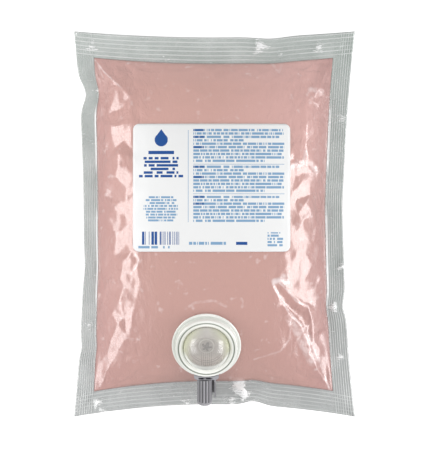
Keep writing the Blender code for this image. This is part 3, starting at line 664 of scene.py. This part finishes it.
# %% Tents and waves
TENTS = [
    # x, y, height and radius in mm
    (16.5, -108.5, 2.2, 6), (11, -116.5, 1.2, 5), (24, -118, 1, 3), (-18.5, -118, 1.2, 3.5),
    (-77, -117.5, 1.2, 4), (-73, -124.5, 1.2, 4), (30.4, 117, 1.6, 6), (44, 112, 0.8, 3.5),
    (69, 116, 1.2, 4.5), (-80.9, 117, 1.4, 4.5), (78, -55, 1.6, 4), (-76, 88, 1.2, 4),
    (-83, -67, 0.9, 4), (84, 70, 0.8, 5), (15, -103.5, 1.8, 4.5), (19.5, -112.5, 1.6, 4.5),
    (-32, 108, 0.8, 3.5), (83, -88, 1.2, 3.5), (84, -28, 1, 4),
]
TENT_STEEPNESS = 0.85


def tents(x, y):
    """Lift of all the tents, in mm. Each is a small pyramid with three sides."""
    lift = np.zeros_like(x)
    for index, (tent_x, tent_y, height, radius) in enumerate(TENTS):
        sides = [index * 1.9 + side * 2 * pi / 3 for side in range(3)]
        off_x, off_y = x / MM - tent_x, y / MM - tent_y
        away = np.max([off_x * cos(turn) + off_y * sin(turn) for turn in sides], axis=0)
        lift += height * np.maximum(0.0, 1 - away / (radius * TENT_STEEPNESS))
    return lift


def margin_waves(u, v, x, y):
    """Lift of the welded margins, which ripple where the pouch pulls them in."""
    out = smooth((outermost(u, v) - 1.0) / 0.5)
    at_ends = 0.8 * np.sin(x / (9.5 * MM) + 1.3 * np.sin(y / (31 * MM)))
    at_sides = 0.7 * np.sin(y / (11 * MM) + x / (60 * MM))
    ripple = at_ends * (np.abs(v) > np.abs(u)) + at_sides * (np.abs(u) >= np.abs(v))
    return (tents(x, y) + ripple) * MM * out


print(len(TENTS), "tents, the highest", max(tent[2] for tent in TENTS), "mm")

# %% [markdown]
# ## The film
#
# Each web is a fine grid. The two are joined by a narrow rim round their outer edge, as a real welded pouch
# is. A modifier could bend a flat grid, but placing each vertex by its shares keeps the weld lines exact. The
# shares go into a UV map, so the finish can draw the crimped lines of the welds along the edges, however they
# bend. A vertex attribute marks the tents, where the finish paints white glints.

# %% One web
ACROSS_CELLS, ALONG_CELLS, WELD_CELLS = 156, 228, 12
CROWDING = 0.62 * pi / 2
# painted glint: a tent this high gets its full white glint
TENT_GLINT_FULL_AT = 1.2  # lift of a tent, in mm, where it is whitest


def grid_shares(step, inner):
    """Shares of the grid lines: closer together near the weld lines, then even over the margins."""
    end = WELD_CELLS + inner
    inside = np.sin(CROWDING * (2 * (step - WELD_CELLS) / inner - 1)) / sin(CROWDING)
    after = np.where(step > end, 1 + (step - end) / WELD_CELLS, inside)
    return np.where(step < WELD_CELLS, step / WELD_CELLS - 2, after)


def web(bm, weld_map, front):
    """One web: a grid whose vertices are put in place all at once."""
    wide, long = ACROSS_CELLS + 2 * WELD_CELLS, ALONG_CELLS + 2 * WELD_CELLS
    made = bmesh.ops.create_grid(bm, x_segments=wide, y_segments=long, size=1.0)["verts"]
    step_u = np.array([round((vert.co.x + 1) / 2 * wide) for vert in made])
    step_v = np.array([round((vert.co.y + 1) / 2 * long) for vert in made])
    u, v = grid_shares(step_u, ACROSS_CELLS), grid_shares(step_v, ALONG_CELLS)
    x, y = plan_point(u, v)
    if front:
        z = smooth_front(u, v, x, y)
        z = z + folds(u, v, x, y, z)
    else:
        z = smooth_back(u, v)
    margin = outermost(u, v) >= 1 - 1e-6
    z = np.where(margin, seam_height(u, v) + (FILM if front else -FILM), z) + margin_waves(u, v, x, y)
    for vert, place in zip(made, zip(x, y, z)):
        vert.co = place
    # each tent's lift, kept for the painted white glints of the finish
    tent_glint = bm.verts.layers.float["tent_glint"]
    for vert, amount in zip(made, np.minimum(1.0, tents(x, y) / TENT_GLINT_FULL_AT)):
        vert[tent_glint] = amount
    shares_of = dict(zip(made, zip(u, v)))
    faces = {face for vert in made for face in vert.link_faces}
    for face in faces:
        for loop in face.loops:
            loop[weld_map].uv = shares_of[loop.vert]
    if not front:
        bmesh.ops.reverse_faces(bm, faces=list(faces))
    return made


print("cells of a web:", ACROSS_CELLS + 2 * WELD_CELLS, "by", ALONG_CELLS + 2 * WELD_CELLS)


# %% Both webs as one bag
HOLE_SLACK = 0.4 * MM


def open_edges(bm):
    return [edge for edge in bm.edges if edge.is_boundary]


def cut_port(bm, made):
    """Opens the round hole for the pump: faces inside go, and the cut edge moves onto the circle."""
    inside = [vert for vert in made if port_radius(*vert.co.xy) < HOLE_R - HOLE_SLACK]
    bmesh.ops.delete(bm, geom=inside, context="VERTS")
    for vert in [vert for edge in open_edges(bm) for vert in edge.verts]:
        radius = port_radius(*vert.co.xy)
        if radius < WELD_R:
            share = HOLE_R / radius
            vert.co.x = PORT.x + (vert.co.x - PORT.x) * share
            vert.co.y = PORT.y + (vert.co.y - PORT.y) * share
            vert.co.z = port_plane(vert.co.y)


def pouch_bag():
    bm = bmesh.new()
    weld_map = bm.loops.layers.uv.new("weld")
    bm.verts.layers.float.new("tent_glint")
    made = web(bm, weld_map, True)
    web(bm, weld_map, False)
    for face in bmesh.ops.bridge_loops(bm, edges=open_edges(bm))["faces"]:
        for loop in face.loops:
            neighbour = next(near for near in loop.vert.link_loops if near.face is not face)
            loop[weld_map].uv = neighbour[weld_map].uv
    cut_port(bm, made)
    return bm


bag = pouch_bag()
print("film:", len(bag.verts), "vertices")

# %% [markdown]
# ## Clear film finish
#
# Over the lotion the film is wet on its back, so it nearly vanishes. In the welds two dry webs lie on each
# other and look pale grey, with fine crimped lines along each edge, which are partly a painted highlight, a
# painted glint in places beside the weld line, and painted white glints on the tents. Real refraction would
# need many light bounces through thin walls. One cover mask does it at less cost: it mixes a plastic into
# plain see-through, strongly outside the weld line and hardly at all inside it.

# %% Film finish
def film_finish():
    finish = Finish("clear_film")
    u, v = finish.shares()
    across_share, along_share = u.abs(), v.abs()
    outer_share = across_share.most(along_share)
    outside = ((outer_share - 0.997) * 150.0).limited()
    cloud = finish.noise(60.0, 3.0)
    wander = finish.noise(18.0, 1.0)
    long_way, wide_way = finish.stretched(3.0, 0.5), finish.stretched(0.5, 3.0)

    def crimps_and_glints(share, lines, fade):
        """Fine bright lines along one pair of edges, which come and go, partly a painted highlight."""
        place = (share - 1.0) * lines + wander * 0.6
        line = (((place.fract() - 0.5).abs() - 0.33) * 9.0).limited()
        return line * ((fade - 0.36) * 5.0).limited() * (share > 1.0)

    lines = crimps_and_glints(across_share, 8.0, finish.noise(38.0, 2.0, 0.5, long_way))
    end_lines = crimps_and_glints(along_share, 6.0, finish.noise(30.0, 2.0, 0.5, wide_way))
    lines = lines.most(end_lines * ((v * 2.0).limited() * 0.4 + 0.6))

    y = finish.parts(finish.place())[1] * 1000.0
    # painted glint: a white line just beside the side welds, shown only along these spans of the pack
    glint_spans = finish.ring(y, 56.0, 16.0, 9.0) + finish.ring(y, -22.0, 26.0, 9.0)
    weld_glint = finish.ring(across_share, 1.07, 0.025, 0.05) * glint_spans
    # painted glints: white on the tents, broken by wisps of noise, plus the painted glint by the weld
    tent_glint = finish.node("Attribute", {"attribute_name": "tent_glint"}, output="Fac")
    wisp = finish.noise(520.0, 2.0, 0.5, wide_way, 1.5)
    white = (weld_glint * 0.9 + ((tent_glint * 1.1 + wisp * 3.0 - 2.05) * 3.0).limited()).limited()

    edge = ((outer_share - 1.97) * 40.0).limited()
    margin = 0.47 + u * 0.03 - v * 0.025 + (across_share > 1.0) * 0.04 + lines * 0.20 + edge * 0.2
    cover = 0.06 + outside * (margin + (cloud - 0.5) * 0.34 + white * 0.4)
    colour = finish.between((v * 0.5 + 0.5).limited(), (0.325, 0.345, 0.34), (0.295, 0.355, 0.32))
    # crimped lines, lightened partly as a painted highlight
    colour = finish.between(lines, colour, (0.80, 0.82, 0.81))
    # the painted glints whiten the colour
    colour = finish.between(white, colour, (1.0, 1.0, 1.0))
    height = lines * 0.5 + finish.noise(300.0, 2.0) * 0.15
    return finish.plastic(
        cover, Base_Color=colour, Roughness=0.12, Coat_Weight=1.0, Coat_Roughness=0.04, Coat_IOR=1.9,
        Normal=finish.bump(height, 0.25),
    )


clear_film = film_finish()
film = new_piece("film_pouch_skin", bag.copy(), clear_film, "pack")
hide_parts("film_pouch")

# %% [markdown]
# ## The lotion
#
# The lotion fills the bag right up to the film. It could be remeshed from the packed solid, but a copy of the
# bag's own inside, a little smaller, takes every crease. Under the pump it keeps clear of the port.

# %% The filling, a copy of the bag's inside
SOAP_INSET = 0.4 * MM
INSET_GROWTH = 30  # the inset is full a thirtieth of the way in from the weld line
WELD_SHARE = 1.0005  # the weld line's own share, with room for rounding
SOAP_POCKET = 4.0 * MM
POCKET_RIM = 0.6 * MM
MERGED = 0.05 * MM


def filling(bm):
    weld_map = bm.loops.layers.uv["weld"]
    share = {}
    for face in bm.faces:
        for loop in face.loops:
            share[loop.vert] = loop[weld_map].uv.copy()
    outside = [vert for vert in bm.verts if max(map(abs, share[vert])) > WELD_SHARE]
    bmesh.ops.delete(bm, geom=outside, context="VERTS")
    port = [edge for edge in open_edges(bm) if port_radius(*edge.verts[0].co.xy) < WELD_R]
    bmesh.ops.holes_fill(bm, edges=port, sides=0)
    bm.normal_update()
    rim = {vert for edge in open_edges(bm) for vert in edge.verts}
    moves = {}
    for vert in bm.verts:
        near_weld = min(1.0, (1 - max(map(abs, share[vert]))) * INSET_GROWTH)
        moves[vert] = vert.co - vert.normal * SOAP_INSET * near_weld
    for vert, place in moves.items():
        vert.co = place
        if vert in rim:
            u, v = np.array([share[vert].x]), np.array([share[vert].y])
            vert.co.z = float(seam_height(u, v)[0])
        elif vert.co.z > PORT.z * 0.5 and port_radius(place.x, place.y) < WELD_R + POCKET_RIM:
            vert.co.z = port_plane(place.y) - SOAP_POCKET
    bmesh.ops.remove_doubles(bm, verts=list(rim), dist=MERGED)
    return bm


lotion = filling(bag)
print("the lotion's mesh has", len(lotion.faces), "faces")

# %% [markdown]
# ## Lotion finish
#
# The lotion is thick, pink and opaque, and the film over it makes it glossy. Broad clouds of colour come from
# noise, and a fine feathery bump stands for wrinkles too small for the mesh. White highlights along a few
# sharp creases and on a few flank facets are painted into the colour. No noise could put them in place, so
# they are drawn as soft strokes and broken by noise.

# %% Painted highlights along creases and on facets: points in mm, strength, and half the width in mm
HIGHLIGHT_STROKES = [
    ([(-80.2, 109.9), (-72.9, 100.3), (-67, 95), (-61.1, 89.4)], 0.6, 0.7),
    ([(-78, 107), (-73.6, 96.4)], 0.35, 0.6),
    ([(37.6, 106.5), (40.9, 101.9), (42.6, 100.2), (44.2, 104.5)], 0.3, 1.1),
    ([(-18.8, -55.4), (-12.2, -51.5), (-0.3, -50.2), (7.6, -54.1)], 0.3, 1.2),
    ([(49.8, -60.7), (49.8, -75.2), (43.2, -83.8), (26.1, -89.1)], 0.25, 0.8),
    ([(-53.8, -17.8), (-49.8, -23.1), (-51.1, -27.7), (-55.1, -33)], 0.6, 0.8),
    ([(43.9, -35.6), (38.9, -38), (38.6, -39.9), (49.2, -58.1), (59.1, -68.6)], 0.95, 1.15),
    ([(40.9, -37), (46.2, -41.8), (53.8, -50.8), (58, -52.8)], 0.7, 0.9),
    ([(67.6, -84.5), (71.6, -97.7), (76.4, -110.4)], 0.7, 0.9),
    ([(39.5, -37.8), (43.5, -36.6)], 0.9, 2.6),
    ([(46, -35), (47.5, -38.5)], 0.8, 3.2),
    ([(50.8, 37.6), (58, 40), (63, 40.5), (67, 35)], 0.6, 2.6),
    ([(59, 41), (60, 47.5)], 0.6, 1.6),
    ([(63.5, 88.5), (70.5, 87.5)], 0.55, 2.2),
    ([(49.2, -62), (53.8, -70), (58.4, -79.9), (64.4, -91.1)], 0.55, 3.2),
    ([(57, -68), (62.5, -77.5), (67, -89)], 0.6, 3.6),
]
# counts the strokes of painted highlight
print(len(HIGHLIGHT_STROKES), "fine creases")


# %% Lotion finish
def soap_finish():
    finish = Finish("lotion")
    side, up = finish.shares()
    flank = (side.abs() - 0.45) * 1.6
    clouds = (flank + (finish.noise(14.0, 3.0) - 0.5) * 0.9).limited()
    colour = finish.between(((up + 0.8) * 2.0).limited(), (0.58, 0.305, 0.262), (0.625, 0.332, 0.285))
    colour = finish.between((up * 1.6).limited(), colour, (0.725, 0.388, 0.333))
    colour = finish.between(clouds * 0.7, colour, (0.565, 0.288, 0.268))

    upper_right = (side * 1.8).limited() * (up * 1.8).limited() * 0.5
    pale_top = upper_right + ((up - 0.85) * 6.0).limited() * 0.4
    colour = finish.between(pale_top.limited(), colour, (0.83, 0.475, 0.44))
    edge_shade = ((side - 0.8) * 6.0).limited() * 0.7 + ((-side - 0.85) * 7.0).limited() * 0.4
    colour = finish.between(edge_shade, colour, (0.49, 0.25, 0.232))

    flecks = ((finish.noise(150.0, 2.0, 0.6) - 0.64) * 8.0).limited() * 0.4
    # painted highlights: pale strokes along creases and on flank facets, broken by noise
    strokes = finish.strokes(HIGHLIGHT_STROKES) * ((finish.noise(300.0, 2.0) - 0.3) * 3.5).limited()
    colour = finish.between(flecks.most(strokes), colour, (1.0, 0.83, 0.82))
    feather = finish.noise(190.0, 3.0, 0.55, finish.stretched(1.0, 0.5), 1.2)
    wrinkles = (feather * 1.7 + finish.noise(110.0, 1.0) * 1.2) * (0.3 + flank.limited())
    return finish.plastic(
        Base_Color=colour, Roughness=0.28, Coat_Weight=1.0, Coat_Roughness=0.16, Coat_IOR=1.9,
        Normal=finish.bump(wrinkles + finish.noise(700.0, 2.0) * 0.12, 0.9),
    )


soap = new_piece("soap_filling", lotion, soap_finish(), "pack")
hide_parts("soap")

# %% [markdown]
# ## Label
#
# The label is a printed film that follows the pouch's front. A shrinkwrap modifier could lay it down, but it
# would sink into every crease. Here a grid with rounded corners drops onto the film, is smoothed so that it
# spans small creases, and gets a thin wall. Its UV map runs in millimetres from its lower left corner.

# %% Label dropped onto the film, with its sizes in mm
LABEL_WIDTH, LABEL_HEIGHT = 103.2, 84.0
LABEL_CENTRE = (-1.9, 23.8)
LABEL_CORNER = 4.0
LABEL_CELLS = (68, 56)
LABEL_LIFT = 0.3
LABEL_WALL = 0.15
SPANNING_ROUNDS = 6


def label_sheet():
    bm = bmesh.new()
    page = bm.loops.layers.uv.new("page")
    corners = [bm.verts.new((x, y, 0)) for x, y in (
        (0, 0), (LABEL_WIDTH, 0), (LABEL_WIDTH, LABEL_HEIGHT), (0, LABEL_HEIGHT))]
    bm.faces.new(corners)
    bmesh.ops.bevel(
        bm, geom=corners, offset=LABEL_CORNER, segments=6, profile=0.5, affect="VERTICES", material=-1
    )
    for axis, count, size in zip((0, 1), LABEL_CELLS, (LABEL_WIDTH, LABEL_HEIGHT)):
        for step in range(1, count):
            at, normal = [0, 0, 0], [0, 0, 0]
            at[axis], normal[axis] = size * step / count, 1
            geometry = bm.verts[:] + bm.edges[:] + bm.faces[:]
            bmesh.ops.bisect_plane(bm, geom=geometry, plane_co=at, plane_no=normal)
    for face in bm.faces:
        for loop in face.loops:
            loop[page].uv = (loop.vert.co.x, loop.vert.co.y)
    film_tree = BVHTree.FromObject(film, bpy.context.evaluated_depsgraph_get())
    for vert in bm.verts:
        x = (vert.co.x - LABEL_WIDTH / 2 + LABEL_CENTRE[0]) * MM
        y = (vert.co.y - LABEL_HEIGHT / 2 + LABEL_CENTRE[1]) * MM
        hit = film_tree.ray_cast(Vector((x, y, 0.2)), Vector((0, 0, -1)))
        vert.co = hit[0] + hit[1] * LABEL_LIFT * MM
    for _ in range(SPANNING_ROUNDS):
        bmesh.ops.smooth_vert(bm, verts=[v for v in bm.verts if not v.is_boundary], factor=0.5,
                              use_axis_x=False, use_axis_y=False, use_axis_z=True)
    return bm


sheet = label_sheet()
print("the label has", len(sheet.faces), "faces")

# %% [markdown]
# ## Print
#
# A real label would be a picture on the UV map. Here the page is laid out in the shader from plain boxes, in
# millimetres, so it stays sharp. It is generic: a drop, headings, rules, and lines of dashes that white noise
# breaks into words.

# %% Layout of the page, in mm
RULES = ((36.1, 36.5, 19.4, 79.8), (39.6, 99.3, 57.2, 57.6), (39.6, 99.3, 37.8, 38.2))
# left, right, low, high, pitch of the lines, dash; then the inked share of a line and centred, if unusual
PALE_LINES = (
    (39.6, 99.3, 58.5, 80.6, 2.24, 0.55), (39.6, 99.3, 38.9, 56.6, 2.24, 0.55),
    (39.6, 99.3, 19.2, 36.6, 2.24, 0.55), (5.6, 31.4, 19.6, 36.5, 1.9, 0.5, 0.68, True),
    (88.2, 98.4, 3.2, 12.8, 2.1, 0.7), (3.6, 33.4, 1.8, 4.1, 2.3, 1.1, 0.7),
    (36.8, 62.8, 4.2, 6.6, 2.4, 0.6, 0.8),
)
BOLD_LINES = (4.0, 33.0, 48.4, 62.6, 2.35, 1.3, 0.7, True)
BOLD_BOXES = ((10.2, 27.0, 64.0, 66.2), (67.6, 75.0, 4.5, 6.5))
BOLD_STARTS = (79.02, 74.54, 67.82, 54.94, 48.22, 35.24, 30.76)
DROP = (18.6, 73.4)
BAR_BOX = (6.0, 30.4, 4.6, 13.2)
BAR_WIDTH = 0.42
print(len(PALE_LINES) + 1, "blocks of lines on a page of", LABEL_WIDTH, "by", LABEL_HEIGHT, "mm")


# %% Label finish
def label_finish():
    finish = Finish("label_print")
    x, y = finish.parts(finish.node("UVMap", {"uv_map": "page"}))[:2]

    def box(x0, x1, y0, y1):
        return (x > x0) * (x < x1) * (y > y0) * (y < y1)

    def chance(along):
        return finish.node("TexWhiteNoise", {"noise_dimensions": "1D"}, _1=along)

    def rows(x0, x1, y0, y1, pitch, dash, solid=0.68, centred=False):
        """Lines of plain dashes in a box, with ragged ends on the right or on both sides."""
        row = ((y - y0) / pitch).floor()
        across_row = ((y - y0) / pitch).fract()
        line = (across_row > 0.16) * (across_row < 0.16 + solid)
        seed = finish.node("CombineXYZ", _0=(x / dash).floor(), _1=row, _2=dash * 7.0)
        gap = finish.node("TexWhiteNoise", {"noise_dimensions": "3D"}, _0=seed)
        short = chance(row + x0)
        if centred:
            ragged = (x - (x0 + x1) / 2).abs() < (x1 - x0) * (0.5 - short * 0.2)
        else:
            ragged = x < x1 - short * short * short * (x1 - x0) * 0.45
        return box(x0, x1, y0, y1) * line * (gap > 0.2) * ragged

    rule = sum(box(*place) for place in RULES)
    pale = sum(rows(*block) for block in PALE_LINES)
    bold = sum(box(*place) for place in BOLD_BOXES) + rows(*BOLD_LINES)
    for low in BOLD_STARTS:
        bold = bold + box(39.6, 46.6, low, low + 1.5) * 0.7
    off_x, off_y = x - DROP[0], y - DROP[1]
    tip = box(13.0, 24.2, 74.5, 80.6) * (off_x.abs() * 1.35 + (y - 74.4) < 6.0)
    drop = (((off_x * off_x + off_y * off_y).root() < 4.3) + tip).limited()
    bars = box(*BAR_BOX) * (chance((x / BAR_WIDTH).floor()) > 0.42)

    strong = bold + drop + bars
    ink = finish.between(strong.limited(), (0.10, 0.29, 0.52), (0.006, 0.075, 0.30))
    paper = finish.between(finish.noise(90.0, 2.0), (0.845, 0.85, 0.85), (0.875, 0.88, 0.88))
    return finish.plastic(
        Base_Color=finish.between((rule * 0.7 + pale * 0.84 + strong).limited(), paper, ink),
        Roughness=0.42, Specular_IOR_Level=0.4, Normal=finish.bump(finish.noise(900.0, 2.0), 0.02),
    )


label = new_piece("label_sheet", sheet, label_finish(), "pack")
wall = label.modifiers.new("wall", "SOLIDIFY")
wall.thickness = LABEL_WALL * MM
wall.offset = -1
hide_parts("label")

# %% [markdown]
# ## Pump
#
# The pump is injection moulded. Its mouldings could be modelled again, but the packed meshes are exact. They
# are loose triangles, so each one is copied, merged, freed of the flat inner edges, and shaded smooth up to a
# 32 degree edge. Their finishes measure places round the pump's own tilted axis.

# %% Copies of the moulded parts
PUMP = Matrix.Translation(PORT) @ Matrix.Rotation(TILT, 4, "X")
TOUCHING = 0.002 * MM
FLAT_ANGLE = radians(0.4)
SMOOTH_ANGLE = radians(32)


def moulded(node, name, finish, body):
    bm = bmesh.new()
    bm.from_mesh(bpy.data.objects[node].data)
    bmesh.ops.remove_doubles(bm, verts=bm.verts, dist=TOUCHING)
    bmesh.ops.dissolve_limit(bm, angle_limit=FLAT_ANGLE, verts=bm.verts, edges=bm.edges)
    for edge in bm.edges:
        edge.smooth = edge.calc_face_angle(0.0) < SMOOTH_ANGLE
    made = new_piece(name, bm, finish, body)
    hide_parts(node)
    return made


def on_pump(finish):
    """Where a point is on the pump, in mm: across, along, up its axis, and out from it."""
    turned = finish.node("Mapping", {"vector_type": "TEXTURE"}, Vector=finish.place(), Location=PORT,
                         Rotation=(TILT, 0, 0))
    x, y, up = (part * 1000.0 for part in finish.parts(turned))
    return x, y, up, (x * x + y * y).root()


print("pump's port at", [round(part / MM, 1) for part in PORT], "mm")

# %% [markdown]
# ## Collar and fitment
#
# Both are white plastic with a green cast. The collar's ring groove and its foot could be left to the lamps,
# but they are finer than the picture's pixels, so painted shade along a few radii helps them to show. The left
# side gets painted shade too, away from the stronger right lamp.

# %% White plastic
def collar_finish():
    finish = Finish("white_plastic")
    x, _, up, radius = on_pump(finish)
    cloud = finish.noise(110.0, 3.0)
    colour = finish.between(cloud, (0.90, 0.91, 0.86), (0.97, 0.97, 0.94))
    # painted shade: darker towards the left side, away from the stronger right lamp
    colour = finish.between((x * -0.022).limited(), colour, (0.60, 0.62, 0.55))
    colour = finish.between((18.2 - radius).limited() * 0.8, colour, (1.0, 1.0, 0.95))
    upper = (up - 5.0).limited()
    groove = finish.ring(radius, 18.4, 0.24, 0.28) * upper
    foot = finish.ring(radius, 20.9, 0.25, 0.5) * (1.0 - upper)
    rim = finish.ring(radius, 15.5, 0.1, 0.3)
    shade = (groove * 0.85 + foot * 0.3 + rim * 0.35).limited()
    return finish.plastic(
        Base_Color=finish.between(shade, colour, (0.24, 0.28, 0.21)), Roughness=0.24 + (cloud - 0.5) * 0.12,
        Coat_Weight=0.5, Coat_Roughness=0.12, Normal=finish.bump(finish.noise(2400.0, 2.0), 0.03),
    )


white = collar_finish()
moulded("collar_ring", "collar", white, "pack")

# %% [markdown]
# ## Cup under the dome
#
# The cup is the pump's body, seen through the dome and wet with lotion. A pale pink crescent low in the cup
# is a painted reflection, and faint lines and arcs on its plate are colour only: the dome would blur modelled
# ones away.

# %% Cup and fitment
def cup_finish():
    finish = Finish("cup_plastic")
    x, y, _, radius = on_pump(finish)
    cloud = finish.noise(200.0, 3.0)
    colour = finish.between(cloud, (0.62, 0.57, 0.54), (0.70, 0.65, 0.62))
    # painted reflection: a pale pink crescent low in the cup
    colour = finish.between(((-y - 6.0) * 0.35).limited(), colour, (0.95, 0.85, 0.81))
    lines = finish.ring((x / 1.3).fract(), 0.5, 0.10, 0.10) * finish.ring(x, 0.0, 3.6, 0.4)
    arcs = finish.ring(radius, 12.2, 0.15, 0.2) + finish.ring(radius, 10.9, 0.12, 0.2)
    marks = lines * (y < -3.0) * 0.7 + arcs * (y < -6.0) * 0.7
    colour = finish.between(marks.limited(), colour, (0.36, 0.27, 0.26))
    return finish.plastic(Base_Color=colour, Roughness=0.32, Normal=finish.bump(cloud, 0.1))


moulded("pump_body", "pump_cup", cup_finish(), "pack")
moulded("spout_fitment", "fitment", white, "pack")

# %% [markdown]
# ## Valves
#
# The umbrella valve and the duckbill are grey silicone. Under the dome the umbrella shows a dark pressed star
# and a bright edge. A star is a radius that swings with the angle, so one cosine draws it.

# %% Silicone valves
def umbrella_finish():
    finish = Finish("silicone")
    x, y, _, radius = on_pump(finish)
    cloud = finish.noise(900.0, 2.0)
    turns = y.math("ARCTAN2", y + 0.6, x) * 5.0
    arm = turns.math("COSINE", turns) * 0.9
    star = ((2.9 + arm + (cloud - 0.5) * 2.0 - radius) / 0.6).limited()
    colour = finish.between(star, (0.46, 0.425, 0.405), (0.03, 0.025, 0.025))
    colour = finish.between(finish.ring(radius, 4.9, 0.25, 0.3), colour, (0.95, 0.93, 0.90))
    return finish.plastic(Base_Color=colour, Roughness=0.35, Normal=finish.bump(cloud, 0.05))


silicone = umbrella_finish()
moulded("inlet_valve", "inlet_umbrella", silicone, "pack")
moulded("outlet_valve", "outlet_bill", silicone, "pack")

# %% [markdown]
# ## Nozzle and cap
#
# Both are grey plastic. The cap's grooves and the two slots in the nozzle's saddle are real recesses, and the
# finish paints shade into them, for so little light gets in. It also paints shade on the cap's left side and on
# the nozzle's guard. The cap comes off, so it rides on its own body.

# %% Grey plastic
def grey_finish(name, ribs):
    finish = Finish(name)
    x, y, up, _ = on_pump(finish)
    cloud = finish.noise(130.0, 3.0)
    colour = finish.between(cloud, (0.33, 0.325, 0.35), (0.40, 0.39, 0.415))
    above, beside = up - 2.5, x + 1.2
    if ribs:
        out = (beside * beside + above * above).root()
        shade = ((4.86 - out) / 0.3).limited() * (y > -40.0) * 0.8
        # painted shade: the cap darker on its left side, away from the stronger right lamp
        shade = shade.most((beside * -0.14).limited() * 0.7)
    else:
        slots = finish.ring(beside.abs(), 2.35, 1.6, 0.1) * finish.ring(y, -21.75, 0.55, 0.15)
        # painted shade in the slots, and on the guard beside the cap
        shade = (slots * (up > 3.0) + (x > 4.9) * (y < -25.0) * 0.35).limited()
    return finish.plastic(
        Base_Color=finish.between(shade, colour, (0.035, 0.035, 0.04)), Roughness=0.30 + (cloud - 0.5) * 0.1,
        Coat_Weight=0.4, Coat_Roughness=0.15, Normal=finish.bump(finish.noise(2200.0, 2.0), 0.03),
    )


moulded("nozzle", "nozzle_barrel", grey_finish("grey_plastic", False), "pack")
moulded("nozzle_cap", "ribbed_cap", grey_finish("cap_plastic", True), "cap")

# %% [markdown]
# ## Dome
#
# The dome is clear soft elastomer, nearly clear on top and milky towards its clamped edge. A pale crescent low
# in it is a painted reflection. Real refraction would hide the cup at this sample count, so a cover mask is
# mixed in as for the film. When the dome is pressed its bead stays put and its top goes down. So the piece is
# blended between the two bodies, from the bead's seat, 5.1 mm up the pump's axis, to the top at 17.6 mm.

# %% Clear elastomer
def dome_finish():
    finish = Finish("dome_elastomer")
    x, y, _, radius = on_pump(finish)
    cloud = finish.noise(160.0, 3.0)
    rim = ((radius - 9.5) / 5.0).limited()
    lower = (-y / radius).most(0.0)
    # painted reflection: a pale crescent low in the dome, which is also less clear there
    low = (radius - 12.6 + lower * lower * 4.2).limited() * (lower * 3.0).limited()
    side = (x.abs() / 14.0).limited() * rim
    colour = finish.between(side, (0.78, 0.745, 0.71), (0.73, 0.75, 0.52))
    colour = finish.between(low, colour, (0.92, 0.93, 0.88))
    cover = 0.22 + rim * 0.43 + low * 0.4 + (cloud - 0.5) * 0.12
    return finish.plastic(
        cover, Base_Color=colour, Roughness=0.14, Coat_Weight=1.0, Coat_Roughness=0.15, Coat_IOR=2.1,
        Normal=finish.bump(cloud, 0.3),
    )


dome = moulded("pump_dome", "squeeze_dome", dome_finish(), None)
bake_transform(dome, "pack", "dome", start=PUMP @ Vector((0, 0, 5.1 * MM)), end=PUMP @ Vector((0, 0, 17.6 * MM)))
